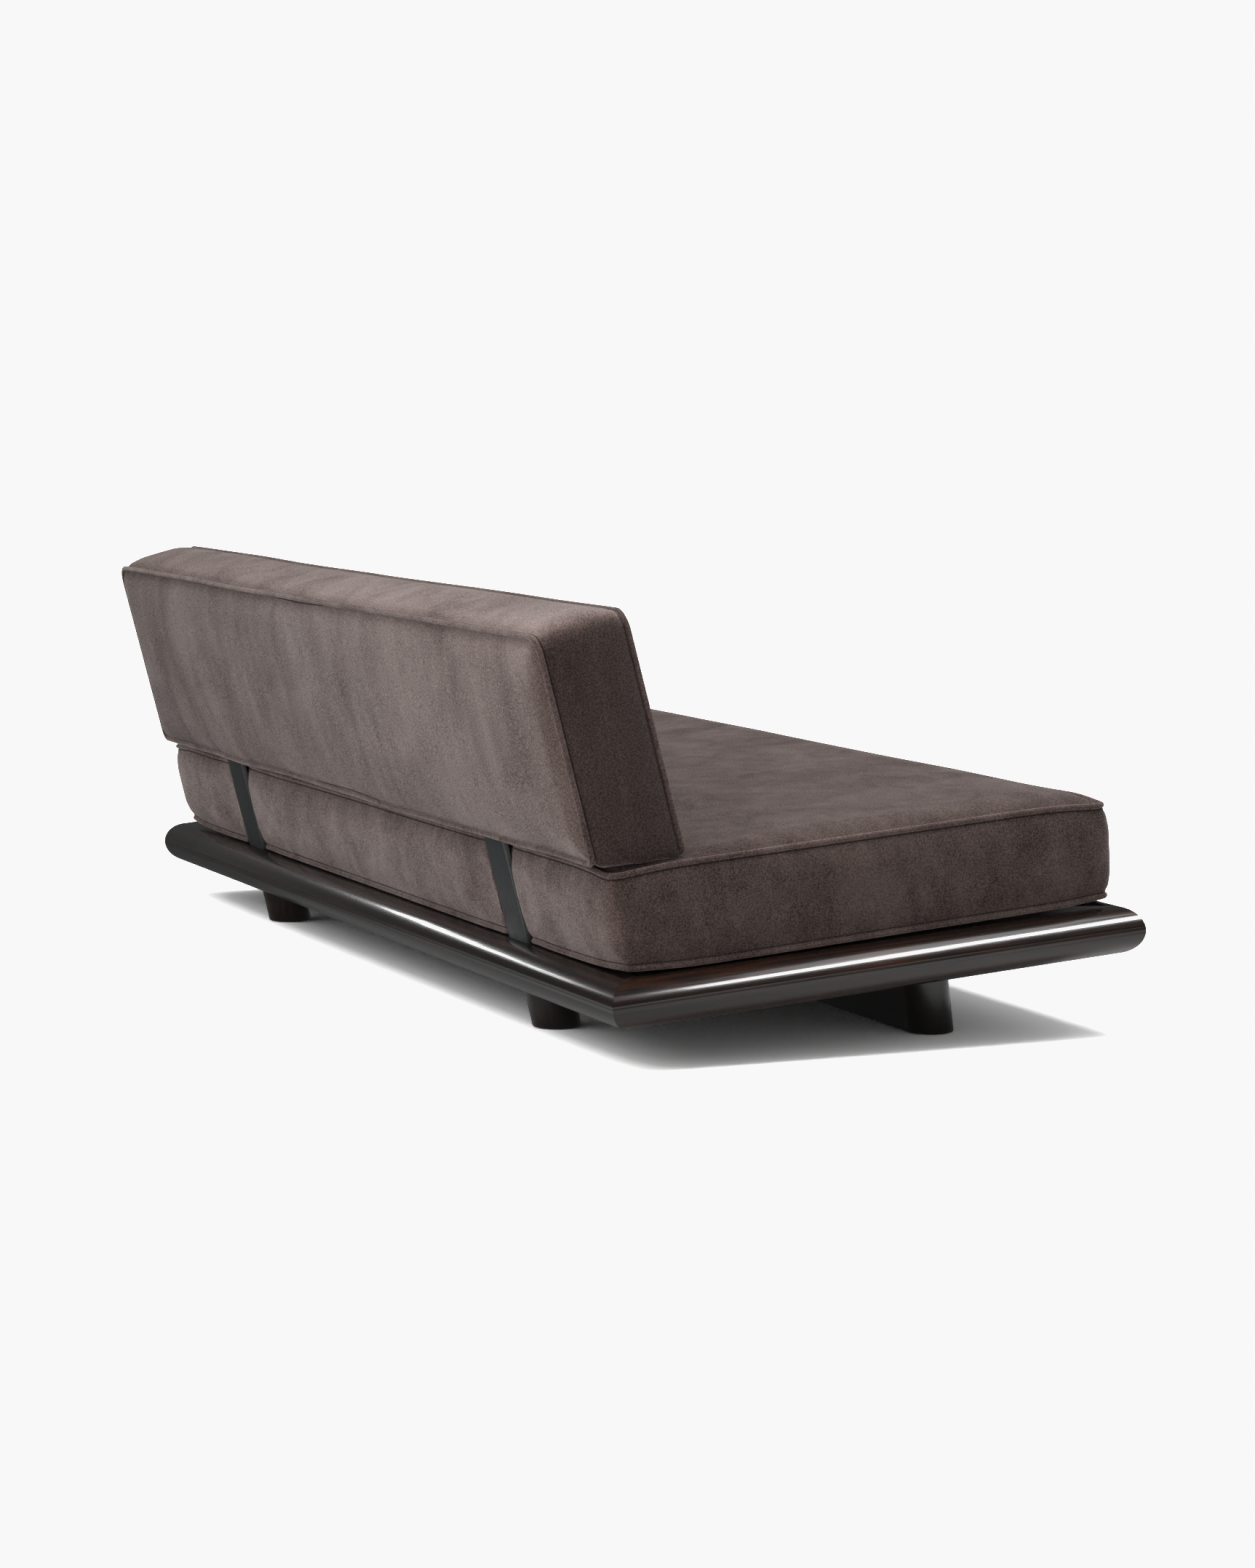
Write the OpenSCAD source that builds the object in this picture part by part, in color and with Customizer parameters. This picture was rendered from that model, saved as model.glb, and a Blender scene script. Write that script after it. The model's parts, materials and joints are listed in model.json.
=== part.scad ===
// Low daybed: a raked platform with half-round edges on two round rear legs and one long
// front leg board, a loose box mattress, and a back cushion carried by two flat steel straps.
// The sitting side faces -Y, the straps stand at the rear (+Y), and the floor is z = 0.
// Most pieces are drawn in the platform's own frame, whose origin is the middle of the
// platform's underside, and are then raked as one by on_platform().

/* [Platform] */
// Length of the platform from end to end
platform_length = 2300; // [2000:10:2500]
// Depth of the platform from front to rear
platform_depth = 892; // [800:2:980]
// Thickness of the platform, which is also the diameter of its half-round edge
platform_thickness = 75; // [66:1:84]
// Backward rake of the platform
seat_tilt = 4.7; // [3:0.1:6]
// Width of the solid edge rails
rail_width = 110; // [105:1:130]
// Thickness of the deck panel
deck_thickness = 18; // [15:1:22]
// Thickness of the underside panel
underside_thickness = 9; // [6:1:12]
// Thickness of the cross ribs inside the platform
rib_thickness = 15; // [12:1:20]
// Number of bays that the cross ribs make
rib_bays = 8; // [6:1:10]

/* [Legs] */
// Diameter of the round rear legs
leg_diameter = 76; // [70:1:80]
// Distance from each end to the centre of a rear leg and of its strap
leg_inset = 477; // [420:1:540]
// Distance from the rear edge to the centre of a rear leg on the floor
leg_setback = 94; // [90:1:98]
// Clear height under the platform at the rear legs, square to the underside
leg_height = 70; // [60:1:85]
// Backward rake of the rear legs relative to the platform
leg_rake = 9; // [7:0.5:10]
// Thickness of the long front leg board
beam_thickness = 75; // [68:1:80]
// Distance from each end of the platform to the end of the front leg board
beam_inset = 166; // [140:1:220]
// Distance from the rear edge to the centre of the front leg board on the floor
beam_setback = 610; // [590:1:630]
// Backward rake of the front leg board relative to the platform
beam_rake = 2.5; // [0:0.5:4]

/* [Straps] */
// Width of the flat steel straps
strap_width = 80; // [70:1:90]
// Thickness of the flat steel straps
strap_thickness = 10; // [8:1:11]
// Backward lean of the straps and of the back cushion relative to the platform
back_lean = 10; // [8:0.5:12]
// Distance from the rear edge to the centre of a strap at the deck surface
strap_setback = 45; // [44:0.5:47]
// Length of strap above the deck
strap_rise = 350; // [300:5:370]

/* [Mattress] */
// Gap between the mattress and each end of the platform
mattress_end_gap = 32; // [28:1:50]
// Gap between the mattress and the front edge
mattress_front_gap = 25; // [22:1:50]
// Gap between the mattress's bottom rear edge and the rear edge of the platform
mattress_rear_gap = 38; // [37:1:39]
// Thickness of the mattress
mattress_thickness = 165; // [150:1:180]
// Backward lean of the mattress's rear face
mattress_lean = 7; // [5:0.5:8]
// Width of the notch round each strap
notch_width = 96; // [92:1:110]

/* [Back cushion] */
// Length of the back cushion
back_length = 2204; // [2000:2:2400]
// Thickness of the back cushion
back_thickness = 153; // [140:1:170]
// Height of the back cushion's rear face along its lean
back_height = 356; // [340:1:380]
// Thickness of the plywood board inside the back cushion
back_board_thickness = 12; // [9:1:15]

/* [Upholstery] */
// Diameter of the piping
welt_diameter = 10; // [8:1:12]
// Thickness of the velvet cover and its wadding
cover_thickness = 3; // [2.5:0.5:4]
// Radius of the cushions' upright corners
cushion_corner_radius = 30; // [20:1:36]

/* [Hidden] */
$fn = 64;

wood_colour = "#241c19";
panel_colour = "#b08a5c";
steel_colour = "#3a3c3d";
zinc_colour = "#a8abae";
velvet_colour = "#6a5f5c";
foam_colour = "#e6dcae";
felt_colour = "#2b2b2b";
eps = 0.01;
seat_gap = 0.5;
// How far the shapes that cut others away reach past them
cut_reach = 200;

edge_radius = platform_thickness / 2;
deck_length = platform_length - 2 * rail_width;
deck_depth = platform_depth - 2 * rail_width;
core_bottom = underside_thickness;
core_top = platform_thickness - deck_thickness;
core_height = core_top - core_bottom;
rear_edge = platform_depth / 2;
post_x = platform_length / 2 - leg_inset;
floor_slope = tan(seat_tilt);
spline_width = 44;
spline_thickness = 5;
spline_inset = 66;
SIDES = [-1, 1];

// The back cushion's rear edge: its cover and its sleeves wrap the straps with no room to spare
welt_proud = 2.5;
strap_clearance = 0.5;
sleeve_wall = 1.5;
foam_inset = welt_proud + cover_thickness;
strap_in_back = foam_inset + sleeve_wall + strap_clearance + strap_thickness / 2;
strap_y = rear_edge - strap_setback;
back_lift = mattress_thickness + 2 * seat_gap;
back_rear = strap_y + back_lift * tan(back_lean) + strap_in_back / cos(back_lean);

// The platform's height and place, which put the floor at z = 0 and the whole in the middle
leg_floor_y = rear_edge - leg_setback;
platform_z = leg_height * cos(seat_tilt) + leg_floor_y * sin(seat_tilt);
back_bottom_z = platform_thickness + back_lift;
back_top_y = back_rear + back_height * sin(back_lean);
back_top_z = back_bottom_z + back_height * cos(back_lean);
rear_reach = back_top_y * cos(seat_tilt) + back_top_z * sin(seat_tilt);
front_reach = (rear_edge - edge_radius) * cos(seat_tilt) - edge_radius * sin(seat_tilt) + edge_radius;
platform_y = (front_reach - rear_reach) / 2;

// Legs
glide_proud = 1;
glide_thickness = 4;
glide_margin = 6;
leg_top_y = leg_floor_y + leg_height * tan(leg_rake);
dowel_diameter = 24;
dowel_in_leg = 34;
dowel_in_rail = 44;
beam_floor_y = rear_edge - beam_setback;
beam_drop = leg_height + (leg_floor_y - beam_floor_y) * floor_slope;
beam_top_y = beam_floor_y + beam_drop * tan(beam_rake);
beam_half_span = platform_length / 2 - beam_inset - beam_thickness / 2;
beam_block_depth = 120;
beam_bolt_count = 6;
beam_bolt_pitch = 2 * beam_half_span / (beam_bolt_count - 1);
bolt_diameter = 10;
bolt_head_diameter = 20;
bolt_head_height = 6;
beam_bolt_length = 100;
front_glide_count = 5;
front_glide_diameter = 50;

// Straps
strap_depth = 50;
strap_bolt_spread = 48;
strap_bolt_z = 40;
strap_bolt_diameter = 8;
strap_bolt_head = 14;
strap_bolt_head_height = 5;
strap_bolt_end_cover = 30;

// Mattress
mattress_length = platform_length - 2 * mattress_end_gap;
mattress_bottom = platform_thickness + seat_gap;
mattress_top = mattress_bottom + mattress_thickness;
mattress_front = -platform_depth / 2 + mattress_front_gap;
mattress_rear = rear_edge - mattress_rear_gap;
mattress_rear_top = mattress_rear + mattress_thickness * tan(mattress_lean);
notch_clearance = 2;
zip_width = 12;
zip_thickness = 2;
zip_length = 1700;
zip_margin = 80;

// Back cushion, drawn in its own frame: x along the cushion, y forward, z up its lean
back_bottom_slope = tan(back_lean);
sleeve_height = 200;
sleeve_inner_width = strap_width + 2 * strap_clearance;
sleeve_inner_depth = strap_thickness + 2 * strap_clearance;
sleeve_outer_depth = sleeve_inner_depth + 2 * sleeve_wall;
sleeve_outer_width = sleeve_inner_width + 2 * sleeve_wall;
opening_height = 20;
sleeve_front = foam_inset + sleeve_outer_depth;
board_front = sleeve_front + back_board_thickness;
board_margin = 45;
board_height = back_height - 2 * board_margin;
screw_diameter = 5;
screw_length = 9;
screw_edge_distance = 15;
screw_height_shares = [0.35, 0.85];

// Puts a piece drawn in the platform's frame at its place above the floor
module on_platform()
  translate([0, platform_y, platform_z])
    rotate([-seat_tilt, 0, 0])
      children();

// Puts a piece drawn in the back cushion's frame on the platform
module on_back()
  on_platform()
    translate([0, back_rear, back_bottom_z])
      rotate([-back_lean, 0, 0])
        mirror([0, 1, 0])
          children();

module box_at(size, at)
  translate([at[0] - size[0] / 2, at[1] - size[1] / 2, at[2]])
    cube(size);

// ---- platform ----

// Section of an edge rail: flat on the inside, half-round on the outside (+x)
module rail_section() {
  translate([-rail_width, 0])
    square([rail_width - edge_radius, platform_thickness]);
  translate([-edge_radius, edge_radius])
    circle(r = edge_radius);
}

// An edge rail along x whose outer edge is y = 0, mitred at 45 degrees at both ends
module mitred_rail(length)
  intersection() {
    translate([-length / 2, 0, 0])
      rotate([90, 0, 90])
        linear_extrude(length)
          rail_section();
    translate([0, 0, -1])
      linear_extrude(platform_thickness + 2)
        polygon([
          [-length / 2, 0],
          [length / 2, 0],
          [length / 2 - rail_width, -rail_width],
          [-length / 2 + rail_width, -rail_width]
        ]);
  }

module spline_shapes()
  for (x = SIDES)
    for (y = SIDES)
      translate([
        x * (platform_length / 2 - spline_inset),
        y * (platform_depth / 2 - spline_inset),
        edge_radius
      ])
        rotate([0, 0, 45])
          cube([spline_width, spline_width, spline_thickness], center = true);

module corner_splines()
  color(panel_colour)
    on_platform()
      spline_shapes();

module rail_front()
  color(wood_colour)
    on_platform()
      difference() {
        rotate([0, 0, 180])
          translate([0, rear_edge, 0])
            mitred_rail(platform_length);
        spline_shapes();
      }

module rail_rear()
  color(wood_colour)
    on_platform()
      difference() {
        translate([0, rear_edge, 0])
          mitred_rail(platform_length);
        spline_shapes();
        for (side = SIDES) {
          strap_slot(side);
          strap_bolt_shapes(side);
          dowel_shape(side);
        }
      }

module end_rail(side)
  difference() {
    rotate([0, 0, -90 * side])
      translate([0, platform_length / 2, 0])
        mitred_rail(platform_depth);
    spline_shapes();
  }

module rail_left()
  color(wood_colour)
    on_platform()
      end_rail(-1);

module rail_right()
  color(wood_colour)
    on_platform()
      end_rail(1);

module deck_panel()
  color(wood_colour)
    on_platform()
      box_at([deck_length, deck_depth, deck_thickness], [0, 0, core_top]);

module underside_panel()
  color(wood_colour)
    on_platform()
      difference() {
        box_at([deck_length, deck_depth, underside_thickness], [0, 0, 0]);
        beam_bolt_holes();
      }

module ribs(y_from, y_to)
  for (i = [1 : rib_bays - 1])
    translate([-deck_length / 2 + i * deck_length / rib_bays - rib_thickness / 2, y_from, core_bottom])
      cube([rib_thickness, y_to - y_from, core_height]);

module rear_ribs()
  color(panel_colour)
    on_platform()
      ribs(beam_top_y + beam_block_depth / 2, deck_depth / 2);

module front_ribs()
  color(panel_colour)
    on_platform()
      ribs(-deck_depth / 2, beam_top_y - beam_block_depth / 2);

// The solid timber inside the platform that the front leg board is bolted to
module beam_block()
  color(panel_colour)
    on_platform()
      difference() {
        box_at([deck_length, beam_block_depth, core_height], [0, beam_top_y, core_bottom]);
        beam_bolt_holes();
      }

// ---- legs ----

module above_platform()
  box_at([platform_length, platform_depth, cut_reach], [0, 0, 0]);

module below_floor()
  box_at([platform_length, 2 * platform_depth, cut_reach], [0, 0, glide_proud - cut_reach]);

module leg_axis(side)
  translate([side * post_x, leg_top_y, 0])
    rotate([-leg_rake, 0, 0])
      children();

module dowel_shape(side)
  leg_axis(side)
    translate([0, 0, -dowel_in_leg])
      cylinder(h = dowel_in_leg + dowel_in_rail, d = dowel_diameter);

module leg_dowels()
  color(panel_colour)
    on_platform()
      for (side = SIDES)
        dowel_shape(side);

module rear_glide_shape(side)
  translate([side * post_x, leg_floor_y * cos(seat_tilt) - leg_height * sin(seat_tilt) + platform_y, 0])
    cylinder(h = glide_thickness, d = leg_diameter - 2 * glide_margin);

module rear_leg(side)
  difference() {
    on_platform()
      leg_axis(side)
        translate([0, 0, -leg_height - leg_diameter])
          cylinder(h = leg_height + 2 * leg_diameter, d = leg_diameter);
    on_platform()
      above_platform();
    below_floor();
    on_platform()
      dowel_shape(side);
    rear_glide_shape(side);
  }

module rear_leg_left()
  color(wood_colour)
    rear_leg(-1);

module rear_leg_right()
  color(wood_colour)
    rear_leg(1);

module rear_glides()
  color(felt_colour)
    for (side = SIDES)
      rear_glide_shape(side);

// The front leg board: a long upright board with half-round ends, cut level at the floor
module beam_prism() {
  cube([2 * beam_half_span, beam_thickness, 4 * beam_thickness], center = true);
  for (side = SIDES)
    translate([side * beam_half_span, 0, 0])
      cylinder(h = 4 * beam_thickness, d = beam_thickness, center = true);
}

module front_glide_shapes()
  for (i = [0 : front_glide_count - 1])
    translate([
      -beam_half_span + i * 2 * beam_half_span / (front_glide_count - 1),
      beam_floor_y * cos(seat_tilt) - beam_drop * sin(seat_tilt) + platform_y,
      0
    ])
      cylinder(h = glide_thickness, d = front_glide_diameter);

module front_beam()
  color(wood_colour)
    difference() {
      on_platform()
        translate([0, beam_top_y, 0])
          rotate([-beam_rake, 0, 0])
            beam_prism();
      on_platform()
        above_platform();
      below_floor();
      on_platform()
        beam_bolt_holes();
      front_glide_shapes();
    }

module front_glides()
  color(felt_colour)
    front_glide_shapes();

module beam_bolt_shape()
  translate([0, 0, core_top - bolt_head_height]) {
    cylinder(h = bolt_head_height, d = bolt_head_diameter);
    translate([0, 0, -beam_bolt_length])
      cylinder(h = beam_bolt_length + eps, d = bolt_diameter);
  }

module beam_bolt_holes()
  for (i = [0 : beam_bolt_count - 1])
    translate([-beam_half_span + i * beam_bolt_pitch, beam_top_y, 0])
      beam_bolt_shape();

module beam_bolts()
  color(zinc_colour)
    on_platform()
      beam_bolt_holes();

// ---- straps ----

// A flat bar along the back's lean, from below the deck up into the back cushion
module strap_bar(side, grow, top)
  translate([side * post_x, strap_y, platform_thickness])
    rotate([-back_lean, 0, 0])
      box_at(
        [strap_width + 2 * grow, strap_thickness + 2 * grow, strap_depth + top],
        [0, 0, -strap_depth]
      );

module strap_slot(side)
  strap_bar(side, strap_clearance, platform_thickness);

module strap_bolt_shapes(side)
  for (end = SIDES)
    translate([side * post_x + end * strap_bolt_spread / 2, deck_depth / 2, strap_bolt_z])
      rotate([-90, 0, 0]) {
        cylinder(h = rail_width - strap_bolt_end_cover, d = strap_bolt_diameter);
        cylinder(h = strap_bolt_head_height, d = strap_bolt_head);
      }

module strap(side)
  color(steel_colour)
    on_platform()
      difference() {
        strap_bar(side, 0, strap_rise);
        strap_bolt_shapes(side);
      }

module strap_left()
  strap(-1);

module strap_right()
  strap(1);

module strap_bolts()
  color(zinc_colour)
    on_platform()
      for (side = SIDES)
        strap_bolt_shapes(side);

// ---- mattress ----

// Plan of the mattress with round corners, drawn in by inset all round
module mattress_plan(rear, inset) {
  width = mattress_length - 2 * inset;
  depth = rear - mattress_front - 2 * inset;
  r = cushion_corner_radius - inset;
  translate([-width / 2 + r, mattress_front + inset])
    square([width - 2 * r, depth]);
  translate([-width / 2, mattress_front + inset + r])
    square([width, depth - 2 * r]);
  for (x = SIDES)
    for (y = [mattress_front + inset + r, rear - inset - r])
      translate([x * (width / 2 - r), y])
        circle(r = r);
}

// The space kept clear for the straps, from below the mattress to above it
module notch_cut(inset)
  for (side = SIDES)
    translate([side * post_x, strap_y, platform_thickness])
      rotate([-back_lean, 0, 0])
        translate([
          -notch_width / 2 - inset,
          -strap_thickness / 2 - notch_clearance - inset,
          -platform_thickness
        ])
          cube([notch_width + 2 * inset, cut_reach, 2 * mattress_top]);

// The mattress as a block whose rear face leans back with the straps, drawn in by inset at its
// sides and by level_inset at its top and bottom
module mattress_block(inset, level_inset)
  difference() {
    translate([0, 0, mattress_bottom + level_inset])
      linear_extrude(mattress_thickness - 2 * level_inset)
        mattress_plan(mattress_rear_top, inset);
    translate([0, mattress_rear - inset, mattress_bottom])
      rotate([-mattress_lean, 0, 0])
        translate([-platform_length / 2, 0, -mattress_thickness])
          cube([platform_length, cut_reach, 3 * mattress_thickness]);
    notch_cut(inset);
  }

module mattress_zip_shape()
  box_at(
    [zip_length, zip_width, zip_thickness],
    [0, mattress_front + zip_margin, mattress_bottom + welt_proud]
  );

module mattress_cover()
  color(velvet_colour)
    on_platform()
      difference() {
        mattress_block(welt_proud, welt_proud);
        mattress_block(foam_inset, foam_inset);
        mattress_zip_shape();
      }

module mattress_foam()
  color(foam_colour)
    on_platform()
      mattress_block(foam_inset, foam_inset);

// A square-cut ring of piping round the mattress's edge
module mattress_welt(z)
  color(velvet_colour)
    on_platform()
      intersection() {
        difference() {
          mattress_block(0, 0);
          mattress_block(welt_diameter, -welt_diameter);
          mattress_block(welt_proud, welt_proud);
        }
        translate([0, 0, z])
          linear_extrude(welt_diameter)
            square([2 * platform_length, 2 * platform_depth], center = true);
      }

module mattress_welt_top()
  mattress_welt(mattress_top - welt_diameter);

module mattress_welt_bottom()
  mattress_welt(mattress_bottom);

module mattress_zip()
  color(felt_colour)
    on_platform()
      mattress_zip_shape();

// ---- back cushion ----

// Front view of the back cushion with round top corners; its bottom is square
module back_outline(inset) {
  width = back_length - 2 * inset;
  r = cushion_corner_radius - inset;
  drop = back_thickness * back_bottom_slope;
  translate([-width / 2, -drop])
    square([width, drop + back_height - inset - r]);
  translate([-width / 2 + r, -drop])
    square([width - 2 * r, drop + back_height - inset]);
  for (x = SIDES)
    translate([x * (width / 2 - r), back_height - inset - r])
      circle(r = r);
}

// The back cushion as a block whose bottom face lies parallel to the seat, drawn in by inset round
// its outline and by face_inset at its front and rear
module back_block(inset, face_inset)
  difference() {
    translate([0, back_thickness - face_inset, 0])
      rotate([90, 0, 0])
        linear_extrude(back_thickness - 2 * face_inset)
          back_outline(inset);
    rotate([-back_lean, 0, 0])
      translate([-platform_length / 2, -cut_reach, inset - cut_reach])
        cube([platform_length, 2 * cut_reach + back_thickness, cut_reach]);
  }

module board_shape()
  box_at(
    [back_length - 2 * board_margin, back_board_thickness, board_height],
    [0, board_front - back_board_thickness / 2, board_margin]
  );

module sleeve_outer(side)
  box_at(
    [sleeve_outer_width, sleeve_outer_depth, sleeve_height],
    [side * post_x, strap_in_back, 0]
  );

module sleeve_inner(side)
  box_at(
    [sleeve_inner_width, sleeve_inner_depth, 2 * sleeve_height],
    [side * post_x, strap_in_back, -sleeve_height - sleeve_wall]
  );

// The way through the cushion's underside for a strap and its sleeve
module strap_opening(side)
  box_at(
    [sleeve_outer_width, sleeve_outer_depth, 2 * opening_height],
    [side * post_x, strap_in_back, -opening_height]
  );

module screw_shapes()
  for (side = SIDES)
    for (x = SIDES)
      for (share = screw_height_shares)
        translate([
          side * post_x + x * (sleeve_outer_width / 2 - screw_edge_distance),
          sleeve_front - sleeve_wall,
          share * sleeve_height
        ])
          rotate([-90, 0, 0])
            cylinder(h = screw_length, d = screw_diameter);

module back_zip_shape()
  rotate([-back_lean, 0, 0])
    box_at([zip_length, zip_width, zip_thickness], [0, back_thickness / 2, welt_proud]);

module back_cover()
  color(velvet_colour)
    on_back()
      difference() {
        back_block(welt_proud, welt_proud);
        back_block(foam_inset, foam_inset);
        for (side = SIDES)
          strap_opening(side);
        back_zip_shape();
      }

module back_foam()
  color(foam_colour)
    on_back()
      difference() {
        back_block(foam_inset, foam_inset);
        board_shape();
        for (side = SIDES)
          sleeve_outer(side);
      }

module back_board()
  color(panel_colour)
    on_back()
      difference() {
        board_shape();
        screw_shapes();
      }

module sleeve(side)
  color(steel_colour)
    on_back()
      difference() {
        sleeve_outer(side);
        sleeve_inner(side);
        screw_shapes();
      }

module sleeve_left()
  sleeve(-1);

module sleeve_right()
  sleeve(1);

module sleeve_screws()
  color(zinc_colour)
    on_back()
      screw_shapes();

// A square-cut ring of piping round one face of the back cushion
module back_welt(y)
  color(velvet_colour)
    on_back()
      intersection() {
        difference() {
          back_block(0, 0);
          back_block(welt_diameter, -welt_diameter);
          back_block(welt_proud, welt_proud);
          for (side = SIDES)
            strap_opening(side);
        }
        translate([-platform_length / 2, y, -cut_reach])
          cube([platform_length, welt_diameter, cut_reach + 2 * back_height]);
      }

module back_welt_rear()
  back_welt(0);

module back_welt_front()
  back_welt(back_thickness - welt_diameter);

module back_zip()
  color(felt_colour)
    on_back()
      back_zip_shape();

deck_panel();
underside_panel();
rail_front();
rail_rear();
rail_left();
rail_right();
corner_splines();
rear_ribs();
front_ribs();
beam_block();
rear_leg_left();
rear_leg_right();
leg_dowels();
front_beam();
beam_bolts();
rear_glides();
front_glides();
strap_left();
strap_right();
strap_bolts();
mattress_cover();
mattress_foam();
mattress_welt_top();
mattress_welt_bottom();
mattress_zip();
back_cover();
back_foam();
back_board();
sleeve_left();
sleeve_right();
sleeve_screws();
back_welt_rear();
back_welt_front();
back_zip();
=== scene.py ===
"""A low daybed: a dark-stained platform with half-round edges on raked legs, two steel straps,
a box mattress and a back cushion in short-pile velvet with piped seams."""

import json
import math

import bmesh
import bpy
from bpy.props import FloatProperty, IntProperty, PointerProperty, StringProperty
from mathutils import Matrix, Vector, noise
from mathutils.bvhtree import BVHTree
from mathutils.kdtree import KDTree


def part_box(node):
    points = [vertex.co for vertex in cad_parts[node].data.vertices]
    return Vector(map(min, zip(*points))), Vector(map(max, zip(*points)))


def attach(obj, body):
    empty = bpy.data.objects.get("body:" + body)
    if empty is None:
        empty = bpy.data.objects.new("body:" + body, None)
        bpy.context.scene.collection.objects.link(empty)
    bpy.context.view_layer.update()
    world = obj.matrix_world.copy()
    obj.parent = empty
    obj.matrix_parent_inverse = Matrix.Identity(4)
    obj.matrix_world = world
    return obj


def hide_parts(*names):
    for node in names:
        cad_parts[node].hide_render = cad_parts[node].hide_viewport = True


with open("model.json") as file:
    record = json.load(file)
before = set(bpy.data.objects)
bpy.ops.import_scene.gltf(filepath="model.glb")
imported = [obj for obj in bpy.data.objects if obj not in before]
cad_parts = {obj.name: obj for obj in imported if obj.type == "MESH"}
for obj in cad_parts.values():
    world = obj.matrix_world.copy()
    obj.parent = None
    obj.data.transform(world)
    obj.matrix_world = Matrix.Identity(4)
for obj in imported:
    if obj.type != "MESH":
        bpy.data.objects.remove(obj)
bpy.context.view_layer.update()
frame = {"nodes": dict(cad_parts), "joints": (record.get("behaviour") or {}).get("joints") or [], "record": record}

bl_info = {
    "name": "Low daybed",
    "version": (1, 0, 0),
    "blender": (4, 5, 0),
    "location": "View3D > Sidebar > Daybed",
    "description": "Builds a low daybed's visible pieces, materials and studio",
    "category": "Object",
}

MM = 0.001
SIDES = (-1, 1)
# A rounded edge's share of the thickness: just under half, so that its two bevels don't meet
HALF_ROUND = 0.4995
# Two points closer than this are at the same place
NEAR = 0.05 * MM
# How far a strap goes down into the rail and up from the deck, and the room round it in its slot
STRAP_DEPTH = 49 * MM
STRAP_RISE = 350 * MM
SLOT_ROOM = 0.6 * MM


# ---------------------------------------------------------------- places

def joint_axis(name):
    return Vector(next(joint["axis"] for joint in frame["joints"] if joint["name"] == name))


BOXES = {name: [Vector(corner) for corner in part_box(name)] for name in frame["nodes"]}


def middle(name):
    low, high = BOXES[name]
    return (low + high) / 2


def extent(name):
    low, high = BOXES[name]
    return high - low


# The mattress slides along the deck and the back lifts along the straps, so the joints give both leans.
SEAT_TILT = math.atan2(joint_axis("mattress_slide").z, -joint_axis("mattress_slide").y)
BACK_TILT = math.atan2(joint_axis("backrest_lift").y, joint_axis("backrest_lift").z)


class PlatformSizes(bpy.types.PropertyGroup):
    length: FloatProperty(
        name="Length", description="Platform from end to end", default=extent("rail_rear").x, unit="LENGTH")
    depth: FloatProperty(
        name="Depth", description="Platform from front to rear", default=892 * MM, unit="LENGTH")
    thickness: FloatProperty(
        name="Thickness", description="Platform thickness", default=75 * MM, unit="LENGTH")
    rail_width: FloatProperty(
        name="Rail width", description="Width of an edge rail", default=extent("rail_left").x, unit="LENGTH")
    deck_thickness: FloatProperty(
        name="Deck", description="Thickness of the deck panel", default=18 * MM, unit="LENGTH")
    leg_diameter: FloatProperty(
        name="Leg", description="Diameter of a rear leg", default=extent("rear_leg_left").x, unit="LENGTH")
    leg_rake: FloatProperty(
        name="Leg rake", description="Rake of the rear legs from square",
        default=math.radians(9), unit="ROTATION")
    beam_rake: FloatProperty(
        name="Board rake", description="Rake of the front leg board",
        default=math.radians(2.5), unit="ROTATION")
    beam_thickness: FloatProperty(
        name="Board", description="Thickness of the front leg board", default=75 * MM, unit="LENGTH")
    strap_width: FloatProperty(
        name="Strap width", description="Width of a steel strap",
        default=extent("strap_left").x, unit="LENGTH")
    strap_thickness: FloatProperty(
        name="Strap thickness", description="Thickness of a strap", default=10 * MM, unit="LENGTH")
    strap_setback: FloatProperty(
        name="Strap setback", description="Rear edge to a strap, on the deck", default=45 * MM, unit="LENGTH")
    glide_gap: FloatProperty(
        name="Glide", description="Height of the legs' wood over the floor", default=1 * MM, unit="LENGTH")


class CushionSizes(bpy.types.PropertyGroup):
    mattress_thickness: FloatProperty(
        name="Mattress", description="Thickness of the mattress", default=165 * MM, unit="LENGTH")
    mattress_front_gap: FloatProperty(
        name="Front gap", description="Mattress to the front edge", default=25 * MM, unit="LENGTH")
    mattress_rear_gap: FloatProperty(
        name="Rear gap", description="Mattress to the rear edge, on the deck", default=38 * MM, unit="LENGTH")
    mattress_lean: FloatProperty(
        name="Rear lean", description="Lean of the mattress's rear face",
        default=math.radians(7), unit="ROTATION")
    notch_width: FloatProperty(
        name="Notch", description="Width of the notch round a strap", default=96 * MM, unit="LENGTH")
    back_thickness: FloatProperty(
        name="Back", description="Thickness of the back cushion", default=153 * MM, unit="LENGTH")
    back_height: FloatProperty(
        name="Back height", description="Height of its rear face", default=356 * MM, unit="LENGTH")
    back_setback: FloatProperty(
        name="Back setback", description="Rear edge to its bottom seam", default=3 * MM, unit="LENGTH")
    seat_gap: FloatProperty(
        name="Seat gap", description="Air between the layers", default=0.5 * MM, unit="LENGTH")
    corner_radius: FloatProperty(
        name="Back corner", description="Radius of the back's top corners", default=30 * MM, unit="LENGTH")
    mattress_radius: FloatProperty(
        name="Mattress corner", description="Radius of its upright corners", default=20 * MM, unit="LENGTH")
    piping: FloatProperty(
        name="Piping", description="Diameter of the piping", default=9 * MM, unit="LENGTH")
    voxel: FloatProperty(
        name="Mesh", description="Size of the cloth's mesh", default=11 * MM, unit="LENGTH")
    pressure: FloatProperty(name="Pressure", description="Pressure inside the cloth", default=12.0)
    frames: IntProperty(name="Frames", description="Frames of cloth simulation", default=20)


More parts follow.
